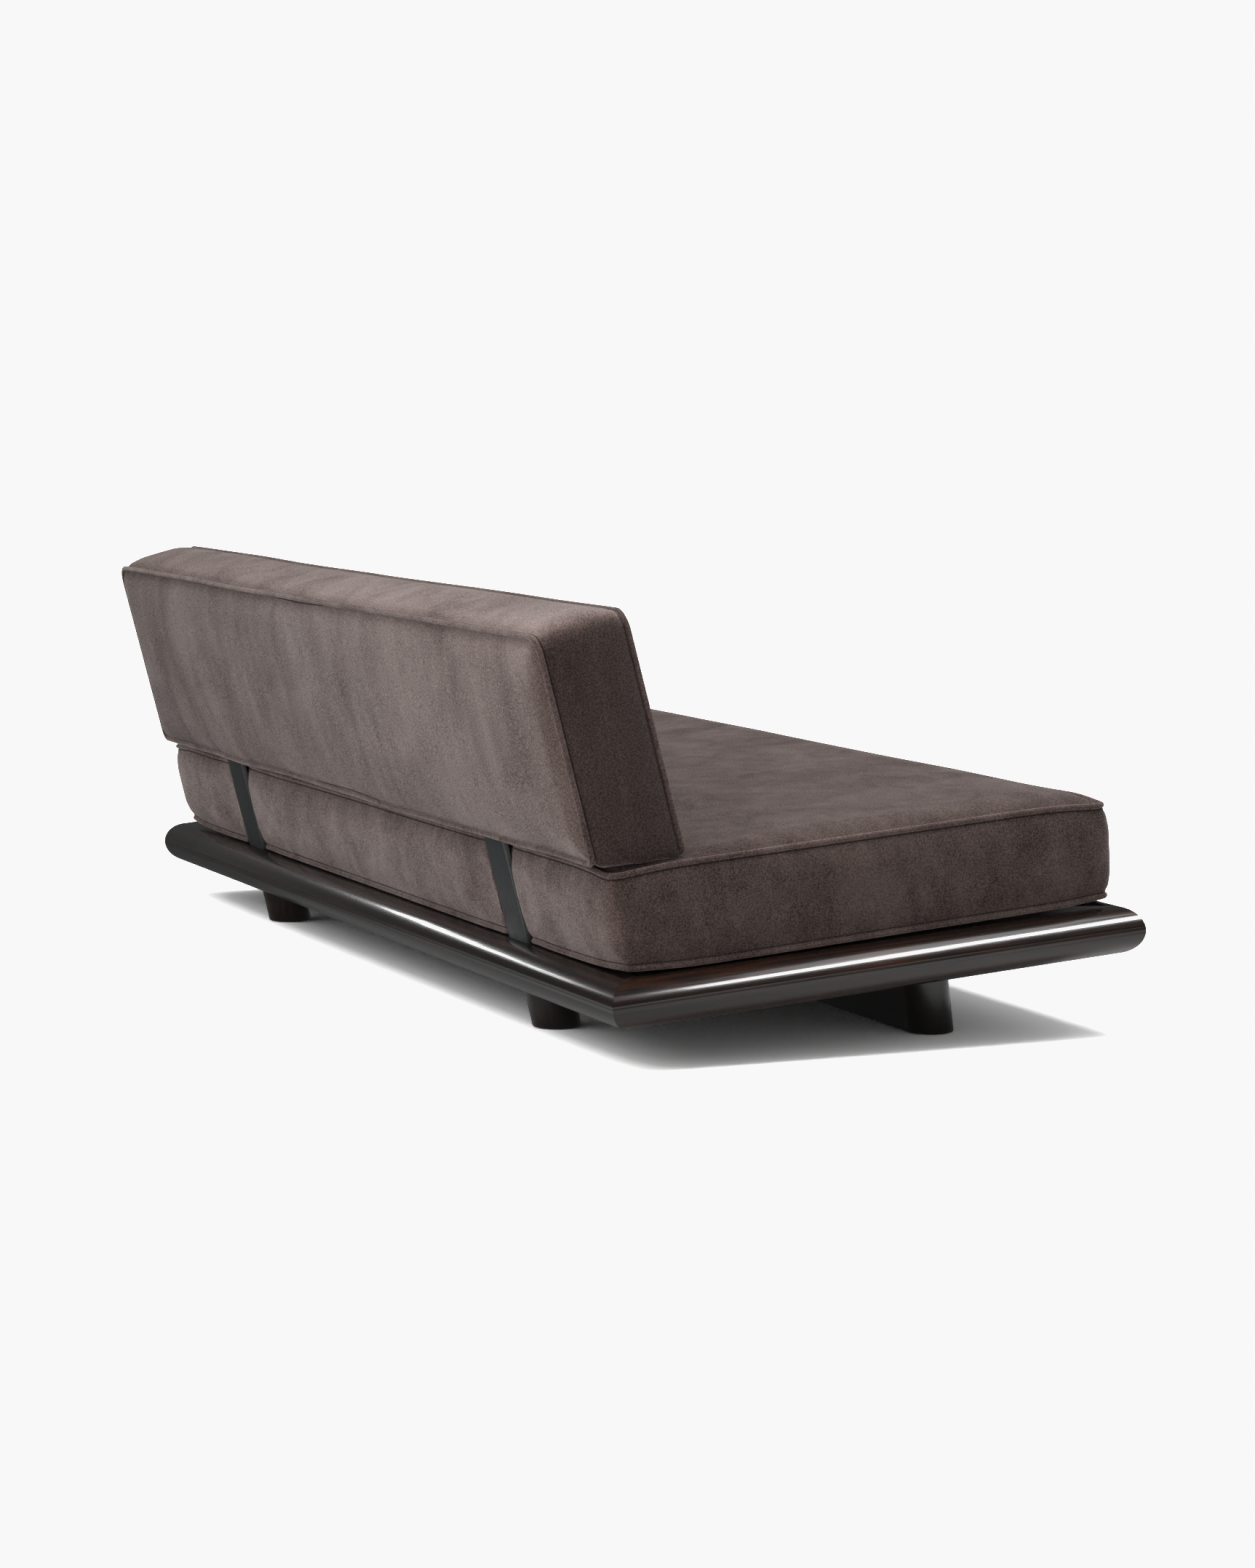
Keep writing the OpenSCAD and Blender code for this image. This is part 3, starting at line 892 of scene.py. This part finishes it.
def painted_panel_light(tree, upper, end):
    """Painted light and shade by which way a panel faces: 1 on the faces, other values on the top and end bands.
    """
    facing = node(
        tree, "ShaderNodeSeparateXYZ", Vector=node(tree, "ShaderNodeTexCoord").outputs["Normal"])
    tone = 1.0
    for axis, sign, level in (("Z", 1, upper), ("X", 1, end), ("X", -1, end)):
        toward = node(tree, "ShaderNodeMath", MULTIPLY, i0=facing.outputs[axis], i1=sign)
        share = node(
            tree, "ShaderNodeMapRange", {"interpolation_type": "SMOOTHSTEP"}, Value=toward.outputs[0],
            From_Min=0.45, From_Max=0.95, To_Min=1.0, To_Max=level)
        tone = node(tree, "ShaderNodeMath", MULTIPLY, i0=share.outputs[0], i1=tone).outputs[0]
    return tone


# Painted light and shade on the upper band and on the end bands of each piece, by which way they face
PAINTED_PANEL_LIGHT = {"back": (1.48, 0.47), "mattress": (0.76, 0.70), "piping": (1.2, 1.0)}
# Painted shade along the length: how light each piece is painted at the -X end and at the +X end
PAINTED_LENGTH_SHADE = {"back": (1.16, 0.64), "mattress": (1.06, 0.94), "piping": (1.0, 0.9)}


def mohair_velvet(part):
    """Mohair velvet: a short, dense, woven pile. Its nap lies in soft vertical strokes, lighter where it is
    raised, over a fine heathered grain, and it glows softly at a grazing angle."""
    material, tree, place = begin_material("mohair_velvet_" + part)
    if tree is None:
        return material
    lean = BACK_TILT if part == "back" else SEAT_TILT
    upright = node(tree, "ShaderNodeMapping", Vector=place, Rotation=(lean, 0, 0)).outputs[0]
    # Strokes of the nap: about 70 mm wide and 350 mm long on the back, and shorter on the mattress
    size = (12, 12, 3.2) if part == "back" else (20, 26, 15)
    stroked = node(tree, "ShaderNodeMapping", Vector=upright, Scale=size).outputs[0]
    strokes = node(
        tree, "ShaderNodeTexNoise", Vector=stroked, Scale=1.0, Detail=5.0, Roughness=0.6, Distortion=0.6)
    # Patches where the pile has been brushed another way: about 200 mm
    patches = node(tree, "ShaderNodeTexNoise", Vector=upright, Scale=5.0, Detail=5.0, Distortion=0.8)
    # Heathered yarns, 2 to 3 mm long
    heather = node(tree, "ShaderNodeTexNoise", Vector=upright, Scale=420.0, Detail=2.0, Roughness=0.7)
    both = node(
        tree, "ShaderNodeMath", {"operation": "ADD"}, i0=strokes.outputs["Fac"], i1=patches.outputs["Fac"])
    half = node(tree, "ShaderNodeMath", MULTIPLY, i0=both.outputs[0], i1=0.5)
    nap = node(tree, "ShaderNodeValToRGB", stops=((0.38, 0.0), (0.62, 1.0)), Fac=half.outputs[0])
    fleck = node(tree, "ShaderNodeValToRGB", stops=((0.42, 0.0), (0.58, 1.0)), Fac=heather.outputs["Fac"])
    raised = node(
        tree, "ShaderNodeMix", RGBA, i0=0.6, i6=nap.outputs["Color"], i7=fleck.outputs["Color"]).outputs[2]
    cloth = node(
        tree, "ShaderNodeMix", RGBA,
        i0=raised, i6=linear(colours().pile_dark), i7=linear(colours().pile_light))
    glow = node(tree, "ShaderNodeMix", RGBA, i0=raised, i6=linear("#998C89"), i7=linear("#FFF4F1"))
    # Painted light and shade: each panel by which way it faces, and a painted shade gradient along the length
    first, last = PAINTED_LENGTH_SHADE[part]
    painted_shade_along_x = node(
        tree, "ShaderNodeMapRange", Value=node(tree, "ShaderNodeSeparateXYZ", Vector=place).outputs["X"],
        From_Min=-1.1, From_Max=1.1, To_Min=first, To_Max=last)
    tone = node(
        tree, "ShaderNodeMath", MULTIPLY, i0=painted_panel_light(tree, *PAINTED_PANEL_LIGHT[part]), i1=painted_shade_along_x.outputs[0])
    cloth_with_painted_light, glow_with_painted_light = (
        node(tree, "ShaderNodeVectorMath", {"operation": "SCALE"}, i0=mix.outputs[2], Scale=tone.outputs[0])
        for mix in (cloth, glow))
    fine = node(tree, "ShaderNodeTexNoise", Vector=upright, Scale=700.0, Detail=2.0)
    bump = node(tree, "ShaderNodeBump", Height=fine.outputs["Fac"], Strength=0.35, Distance=0.6 * MM)
    shader = node(
        tree, "ShaderNodeBsdfPrincipled", Base_Color=cloth_with_painted_light.outputs[0], Normal=bump.outputs[0],
        Roughness=0.95, Specular_IOR_Level=0.1, Sheen_Weight=0.62, Sheen_Roughness=0.45,
        Sheen_Tint=glow_with_painted_light.outputs[0])
    close_material(tree, shader)
    return material


def spun_polyester_thread():
    """Spun polyester thread drawn down into the pile: matt and dark, so a seam reads as a fine line."""
    material, tree, place = begin_material("spun_polyester_thread")
    if tree is None:
        return material
    twist = node(tree, "ShaderNodeTexNoise", Vector=place, Scale=500.0, Detail=1.0)
    colour = node(
        tree, "ShaderNodeMix", RGBA,
        i0=twist.outputs["Fac"], i6=linear("#191312"), i7=linear("#2C2322")).outputs[2]
    shader = node(tree, "ShaderNodeBsdfPrincipled", Base_Color=colour, Roughness=0.9, Specular_IOR_Level=0.1)
    close_material(tree, shader)
    return material


def stained_ash(grain_axis):
    """Ash stained almost black and sprayed with satin lacquer: warm brown shows in the open grain, the
    pores stay as fine lines along each piece, and the lacquer gives clear, slightly soft reflections."""
    material, tree, place = begin_material("stained_ash_along_" + grain_axis.lower())
    if tree is None:
        return material
    level = node(tree, "ShaderNodeMapping", Vector=place, Rotation=(SEAT_TILT, 0, 0)).outputs[0]
    # Grain lines 3 mm apart and 120 mm long; pores 0.8 mm apart and 30 mm long
    lines = [8.0 if axis == grain_axis else 330.0 for axis in "XYZ"]
    pores = [30.0 if axis == grain_axis else 1200.0 for axis in "XYZ"]
    figure = [1.2 if axis == grain_axis else 22.0 for axis in "XYZ"]
    grain = node(
        tree, "ShaderNodeTexNoise", Scale=1.0, Detail=3.0, Distortion=0.3,
        Vector=node(tree, "ShaderNodeMapping", Vector=level, Scale=lines).outputs[0])
    pore = node(
        tree, "ShaderNodeTexNoise", Scale=1.0, Detail=1.0,
        Vector=node(tree, "ShaderNodeMapping", Vector=level, Scale=pores).outputs[0])
    broad = node(
        tree, "ShaderNodeTexNoise", Scale=1.0, Detail=2.0,
        Vector=node(tree, "ShaderNodeMapping", Vector=level, Scale=figure).outputs[0])
    lines_shown = node(
        tree, "ShaderNodeValToRGB", stops=((0.42, 0.0), (0.72, 1.0)), Fac=grain.outputs["Fac"])
    figure_shown = node(
        tree, "ShaderNodeValToRGB", stops=((0.3, 0.25), (0.7, 1.0)), Fac=broad.outputs["Fac"])
    amount = node(
        tree, "ShaderNodeMath", MULTIPLY,
        i0=lines_shown.outputs["Color"], i1=figure_shown.outputs["Color"])
    # Painted shade: less of the grain's brown shows on the pieces along x, for the rear rail that lies in shade
    brown_after_painted_shade = node(
        tree, "ShaderNodeMath", MULTIPLY, i0=amount.outputs[0], i1=0.3 if grain_axis == "X" else 1.0)
    colour = node(
        tree, "ShaderNodeMix", RGBA,
        i0=brown_after_painted_shade.outputs[0], i6=linear(colours().stain), i7=linear(colours().grain)).outputs[2]
    rough = node(
        tree, "ShaderNodeMapRange", Value=pore.outputs["Fac"],
        From_Min=0.3, From_Max=0.7, To_Min=0.2, To_Max=0.27)
    bump = node(tree, "ShaderNodeBump", Height=pore.outputs["Fac"], Strength=0.06, Distance=0.3 * MM)
    shader = node(
        tree, "ShaderNodeBsdfPrincipled",
        Base_Color=colour, Roughness=rough.outputs[0], Normal=bump.outputs[0],
        IOR=1.5, Coat_Weight=0.4, Coat_Roughness=0.08, Coat_IOR=1.5)
    close_material(tree, shader)
    return material


def blackened_steel():
    """Hot-rolled flat bar, blackened and waxed: dark grey with faint clouding and an even satin sheen. Its
    long narrow edges carry a painted highlight: they are painted paler than its faces."""
    material, tree, place = begin_material("blackened_steel")
    if tree is None:
        return material
    cloud = node(tree, "ShaderNodeTexNoise", Vector=place, Scale=35.0, Detail=4.0)
    fine = node(tree, "ShaderNodeTexNoise", Vector=place, Scale=900.0, Detail=1.0)
    face = node(
        tree, "ShaderNodeMix", RGBA,
        i0=cloud.outputs["Fac"], i6=linear(colours().steel), i7=linear("#5C5F61"))
    # Painted highlight: the faces that look along x, the narrow edges, are painted a paler grey
    side = node(
        tree, "ShaderNodeSeparateXYZ", Vector=node(tree, "ShaderNodeTexCoord").outputs["Normal"]).outputs["X"]
    squared = node(tree, "ShaderNodeMath", MULTIPLY, i0=side, i1=side)
    edge = node(
        tree, "ShaderNodeMapRange", Value=squared.outputs[0],
        From_Min=0.3, From_Max=0.8, To_Min=0.0, To_Max=1.0)
    colour = node(
        tree, "ShaderNodeMix", RGBA,
        i0=edge.outputs[0], i6=face.outputs[2], i7=linear("#8C8F90")).outputs[2]
    rough = node(
        tree, "ShaderNodeMapRange", Value=cloud.outputs["Fac"],
        From_Min=0.3, From_Max=0.7, To_Min=0.38, To_Max=0.5)
    bump = node(tree, "ShaderNodeBump", Height=fine.outputs["Fac"], Strength=0.05, Distance=0.1 * MM)
    shader = node(
        tree, "ShaderNodeBsdfPrincipled", Base_Color=colour, Metallic=0.75, Roughness=rough.outputs[0],
        Normal=bump.outputs[0])
    close_material(tree, shader)
    return material


def zinc_plated_steel():
    """Zinc-plated steel screws and bolts: pale, slightly blotched metal from the plating bath."""
    material, tree, place = begin_material("zinc_plated_steel")
    if tree is None:
        return material
    spangle = node(tree, "ShaderNodeTexVoronoi", Vector=place, Scale=400.0)
    colour = node(
        tree, "ShaderNodeMix", RGBA,
        i0=spangle.outputs["Distance"], i6=linear("#9A9EA2"), i7=linear("#C4C7C9")).outputs[2]
    shader = node(tree, "ShaderNodeBsdfPrincipled", Base_Color=colour, Metallic=1.0, Roughness=0.4)
    close_material(tree, shader)
    return material


def birch_plywood():
    """Unfinished birch plywood and softwood inside the platform: pale, dry, with a fine straight grain."""
    material, tree, place = begin_material("birch_plywood")
    if tree is None:
        return material
    stretched = node(tree, "ShaderNodeMapping", Vector=place, Scale=(6, 160, 160)).outputs[0]
    grain = node(tree, "ShaderNodeTexNoise", Vector=stretched, Scale=1.0, Detail=4.0)
    colour = node(
        tree, "ShaderNodeMix", RGBA,
        i0=grain.outputs["Fac"], i6=linear("#B68F61"), i7=linear("#D3B387")).outputs[2]
    shader = node(tree, "ShaderNodeBsdfPrincipled", Base_Color=colour, Roughness=0.75)
    close_material(tree, shader)
    return material


def polyurethane_foam():
    """Cut polyurethane foam: open cells that look pale yellow and quite matt."""
    material, tree, place = begin_material("polyurethane_foam")
    if tree is None:
        return material
    cells = node(tree, "ShaderNodeTexVoronoi", Vector=place, Scale=500.0)
    colour = node(
        tree, "ShaderNodeMix", RGBA,
        i0=cells.outputs["Distance"], i6=linear("#E9DFB4"), i7=linear("#CFC290")).outputs[2]
    bump = node(tree, "ShaderNodeBump", Height=cells.outputs["Distance"], Strength=0.4, Distance=1 * MM)
    shader = node(tree, "ShaderNodeBsdfPrincipled", Base_Color=colour, Roughness=1.0, Normal=bump.outputs[0])
    close_material(tree, shader)
    return material


def pressed_felt():
    """Pressed wool felt glides: dark, matt and slightly fuzzy."""
    material, tree, place = begin_material("pressed_felt")
    if tree is None:
        return material
    fibres = node(tree, "ShaderNodeTexNoise", Vector=place, Scale=800.0, Detail=4.0)
    colour = node(
        tree, "ShaderNodeMix", RGBA,
        i0=fibres.outputs["Fac"], i6=linear("#1E1E1E"), i7=linear("#3A3A3A")).outputs[2]
    shader = node(
        tree, "ShaderNodeBsdfPrincipled", Base_Color=colour, Roughness=1.0, Sheen_Weight=0.3)
    close_material(tree, shader)
    return material


def nylon_zip():
    """A coiled nylon zip: fine teeth 1.5 mm apart between matt woven tapes."""
    material, tree, place = begin_material("nylon_zip")
    if tree is None:
        return material
    teeth = node(tree, "ShaderNodeTexWave", Vector=place, Scale=105.0)
    colour = node(
        tree, "ShaderNodeMix", RGBA,
        i0=teeth.outputs["Fac"], i6=linear("#1A1716"), i7=linear("#393331")).outputs[2]
    shader = node(tree, "ShaderNodeBsdfPrincipled", Base_Color=colour, Roughness=0.55)
    close_material(tree, shader)
    return material


def dress_frame():
    """Gives every CAD piece that stays in view its own finish."""
    finishes = {
        "dark_wood": lambda: stained_ash("X"),
        "plain_wood": birch_plywood,
        "dark_steel": blackened_steel,
        "zinc_steel": zinc_plated_steel,
        "velvet": lambda: mohair_velvet("mattress"),
        "foam": polyurethane_foam,
        "felt": pressed_felt,
        "zip_nylon": nylon_zip,
    }
    for subpart in frame["record"]["subparts"]:
        obj = frame["nodes"][subpart["node"]]
        material = finishes[subpart["material_slot"]]()
        obj.data.materials.clear()
        obj.data.materials.append(material)


# ---------------------------------------------------------------- studio

def build_floor():
    bpy.ops.object.select_all(action="DESELECT")
    bpy.ops.mesh.primitive_plane_add(size=60, location=(0, 0, 0))
    floor = bpy.context.object
    floor.name = "studio_floor"
    bpy.ops.object.mode_set(mode="EDIT")
    bpy.ops.mesh.subdivide(number_cuts=8)
    bpy.ops.object.mode_set(mode="OBJECT")
    # Matt paint. The picture is exposed so that the open floor is paler than its palest tone. A painted
    # reflection: the lacquer sees the lit paint in an oval round the daybed's near end, and a painted dim glow
    # beyond it.
    material, tree, place = begin_material("painted_studio_floor")
    white = OVEREXPOSED * linear(colours().floor)[0] * math.pi / floor_light()
    seen = node(tree, "ShaderNodeBsdfDiffuse", Color=(white, white, white, 1))
    paint = node(tree, "ShaderNodeBsdfDiffuse", Color=(FLOOR_PAINT, FLOOR_PAINT, FLOOR_PAINT, 1))
    oval = node(tree, "ShaderNodeMapping", Vector=place, Location=PAINTED_POOL_SHIFT, Scale=PAINTED_POOL_SCALE)
    painted_pool = node(
        tree, "ShaderNodeTexGradient", {"gradient_type": "SPHERICAL"}, Vector=oval.outputs[0]).outputs["Fac"]
    lit = node(tree, "ShaderNodeValToRGB", stops=((0.0, 0.0), (0.8, 1.0)), Fac=painted_pool)
    beyond = node(tree, "ShaderNodeMath", {"operation": "SUBTRACT"}, i0=1.0, i1=lit.outputs["Color"])
    ray = node(tree, "ShaderNodeLightPath")
    painted_dim_share = node(
        tree, "ShaderNodeMath", MULTIPLY, i0=ray.outputs["Is Glossy Ray"], i1=beyond.outputs[0]).outputs[0]
    # Painted dim glow: what the floor shows the lacquer outside the oval, though it is no lamp
    dim = node(tree, "ShaderNodeEmission", Color=(1, 1, 1, 1), Strength=DIM_REFLECTION)
    other = node(tree, "ShaderNodeMixShader", i0=painted_dim_share, i1=paint.outputs[0], i2=dim.outputs[0])
    shader = node(
        tree, "ShaderNodeMixShader", i0=ray.outputs["Is Camera Ray"], i1=other.outputs[0], i2=seen.outputs[0])
    close_material(tree, shader)
    floor.data.materials.append(material)


def aim(obj, azimuth, elevation, distance=0.0):
    """Turns a light so that it shines from a direction. Azimuth 0 is -Y and 90 is +X."""
    a, e = math.radians(azimuth), math.radians(elevation)
    toward = Vector((math.sin(a) * math.cos(e), -math.cos(a) * math.cos(e), math.sin(e)))
    obj.location = toward * distance
    obj.rotation_euler = toward.to_track_quat("Z", "Y").to_euler()
    bpy.context.scene.collection.objects.link(obj)


def sun(name, azimuth, elevation, strength, spread):
    """A soft distant light that the lacquer doesn't mirror."""
    data = bpy.data.lights.new(name, "SUN")
    data.energy = strength
    data.angle = math.radians(spread)
    light = bpy.data.objects.new(name, data)
    light.visible_glossy = False
    aim(light, azimuth, elevation)


def card(name, azimuth, elevation, width, height, radiance):
    """A lit card that shows only in reflections, as a clear highlight along the rounded wood."""
    data = bpy.data.lights.new(name, "AREA")
    data.shape = "RECTANGLE"
    data.size = width
    data.size_y = height
    data.energy = radiance * math.pi * width * height
    light = bpy.data.objects.new(name, data)
    light.visible_diffuse = False
    aim(light, azimuth, elevation, CARD_DISTANCE)


# Each soft distant light: name, azimuth and elevation in degrees, strength, and angular width in degrees
LIGHTS = (("key_light", 175, 48, 1.3, 60), ("top_light", 200, 84, 2.1, 40))
SKY = 0.4
# Each reflector card: name, azimuth and elevation in degrees, width and height in metres, and radiance
CARDS = (
    ("end_card", 302, 42, 4.5, 1.2, 16.0),
    ("roof_card", 322, 60, 3.6, 1.6, 2.5),
    ("rear_card", 121, 25, 2.7, 0.6, 7.0),
)
CARD_DISTANCE = 5.0
# What the lacquer mirrors beyond the cards: the dim world, and the painted dim glow of the floor outside its oval
DIM_REFLECTION = 0.085
# How much brighter the open floor is than the palest tone of the picture
OVEREXPOSED = 3.2
# Share of the light that the floor's paint gives back
FLOOR_PAINT = 0.72
# Painted reflection: the oval of floor that the lacquer mirrors as lit paint, by its place and size
PAINTED_POOL_SHIFT = (0.63, 0.2, 0)
PAINTED_POOL_SCALE = (0.286, 0.67, 0)
# Tones below the knee stay as they are, and those above the shoulder are as pale as the backdrop
KNEE = 0.38
SHOULDER = 0.68


def floor_light():
    """Light that falls on each square metre of open floor."""
    suns = sum(strength * math.sin(math.radians(elevation)) for _, _, elevation, strength, _ in LIGHTS)
    return suns + math.pi * SKY


def develop(view):
    """Straight tones, then a steeper climb to the backdrop's, which is the palest."""
    view.view_transform = "Standard"
    view.use_curve_mapping = True
    palest = linear(colours().floor)[0]
    curve = view.curve_mapping.curves[3]
    curve.points.new(KNEE, KNEE)
    curve.points.new(SHOULDER, palest)
    curve.points[-1].location = (1.0, palest)
    for point in curve.points:
        point.handle_type = "VECTOR"
    view.curve_mapping.extend = "HORIZONTAL"
    view.curve_mapping.update()


def build_studio():
    scene = bpy.context.scene
    build_floor()
    for light in LIGHTS:
        sun(*light)
    for light in CARDS:
        card(*light)
    world = bpy.data.worlds.new("studio")
    scene.world = world
    world.use_nodes = True
    tree = world.node_tree
    tree.nodes.clear()
    ray = node(tree, "ShaderNodeLightPath")
    soft = node(tree, "ShaderNodeBackground", Color=(1, 1, 1, 1), Strength=SKY)
    dim = node(tree, "ShaderNodeBackground", Color=(1, 1, 1, 1), Strength=DIM_REFLECTION)
    backdrop = node(tree, "ShaderNodeBackground", Color=linear(colours().floor), Strength=OVEREXPOSED)
    room = node(
        tree, "ShaderNodeMixShader",
        i0=ray.outputs["Is Glossy Ray"], i1=soft.outputs[0], i2=dim.outputs[0])
    seen = node(
        tree, "ShaderNodeMixShader",
        i0=ray.outputs["Is Camera Ray"], i1=room.outputs[0], i2=backdrop.outputs[0])
    node(tree, "ShaderNodeOutputWorld", Surface=seen.outputs[0])
    develop(scene.view_settings)
    camera_data = bpy.data.cameras.new("camera")
    camera_data.sensor_fit = "AUTO"
    camera_data.sensor_width = 36
    camera_data.lens = 96.65
    camera_data.clip_end = 200
    camera = bpy.data.objects.new("camera", camera_data)
    camera.location = (-6.772, 2.719, 1.062)
    camera.rotation_euler = (math.radians(90 - 5.9), 0, math.radians(-112.68))
    scene.collection.objects.link(camera)
    scene.camera = camera


# ---------------------------------------------------------------- operators

class DAYBED_OT_frame(bpy.types.Operator):
    """Gives the CAD pieces that stay in view their finishes"""
    bl_idname = "daybed.frame"
    bl_label = "Dress frame"

    def execute(self, context):
        dress_frame()
        return {"FINISHED"}


class DAYBED_OT_platform(bpy.types.Operator):
    """Builds the four mitred edge rails"""
    bl_idname = "daybed.platform"
    bl_label = "Edge rails"

    def execute(self, context):
        build_rails()
        return {"FINISHED"}


class DAYBED_OT_legs(bpy.types.Operator):
    """Builds the two rear legs and the front leg board"""
    bl_idname = "daybed.legs"
    bl_label = "Legs"

    def execute(self, context):
        build_rear_legs()
        build_front_board()
        return {"FINISHED"}


class DAYBED_OT_straps(bpy.types.Operator):
    """Builds the two steel straps"""
    bl_idname = "daybed.straps"
    bl_label = "Straps"

    def execute(self, context):
        build_straps()
        return {"FINISHED"}


class DAYBED_OT_mattress(bpy.types.Operator):
    """Builds the mattress, its piping and its stitching"""
    bl_idname = "daybed.mattress"
    bl_label = "Mattress"

    def execute(self, context):
        build_mattress()
        return {"FINISHED"}


class DAYBED_OT_back(bpy.types.Operator):
    """Builds the back cushion, its piping and its stitching"""
    bl_idname = "daybed.back"
    bl_label = "Back cushion"

    def execute(self, context):
        build_back()
        return {"FINISHED"}


class DAYBED_OT_studio(bpy.types.Operator):
    """Builds the floor, the lights and the camera"""
    bl_idname = "daybed.studio"
    bl_label = "Studio"

    def execute(self, context):
        build_studio()
        return {"FINISHED"}


class DAYBED_PT_panel(bpy.types.Panel):
    """Lists the daybed's sizes, colours and operators"""
    bl_label = "Daybed"
    bl_idname = "DAYBED_PT_panel"
    bl_space_type = "VIEW_3D"
    bl_region_type = "UI"
    bl_category = "Daybed"

    def draw(self, context):
        for group in (platform_sizes(), cushion_sizes(), colours()):
            box = self.layout.box()
            for name in group.__annotations__:
                box.prop(group, name)
        for operator in OPERATORS:
            self.layout.operator(operator.bl_idname)


OPERATORS = (
    DAYBED_OT_frame, DAYBED_OT_platform, DAYBED_OT_legs, DAYBED_OT_straps, DAYBED_OT_mattress,
    DAYBED_OT_back, DAYBED_OT_studio,
)
CLASSES = (PlatformSizes, CushionSizes, Colours, *OPERATORS, DAYBED_PT_panel)


def register():
    for cls in CLASSES:
        bpy.utils.register_class(cls)
    bpy.types.Scene.daybed_platform = PointerProperty(type=PlatformSizes)
    bpy.types.Scene.daybed_cushions = PointerProperty(type=CushionSizes)
    bpy.types.Scene.daybed_colours = PointerProperty(type=Colours)


def unregister():
    del bpy.types.Scene.daybed_colours
    del bpy.types.Scene.daybed_cushions
    del bpy.types.Scene.daybed_platform
    for cls in reversed(CLASSES):
        bpy.utils.unregister_class(cls)


def main():
    register()
    bpy.ops.daybed.frame()
    bpy.ops.daybed.platform()
    bpy.ops.daybed.legs()
    bpy.ops.daybed.straps()
    bpy.ops.daybed.mattress()
    bpy.ops.daybed.back()
    bpy.ops.daybed.studio()


if __name__ == "__main__":
    main()
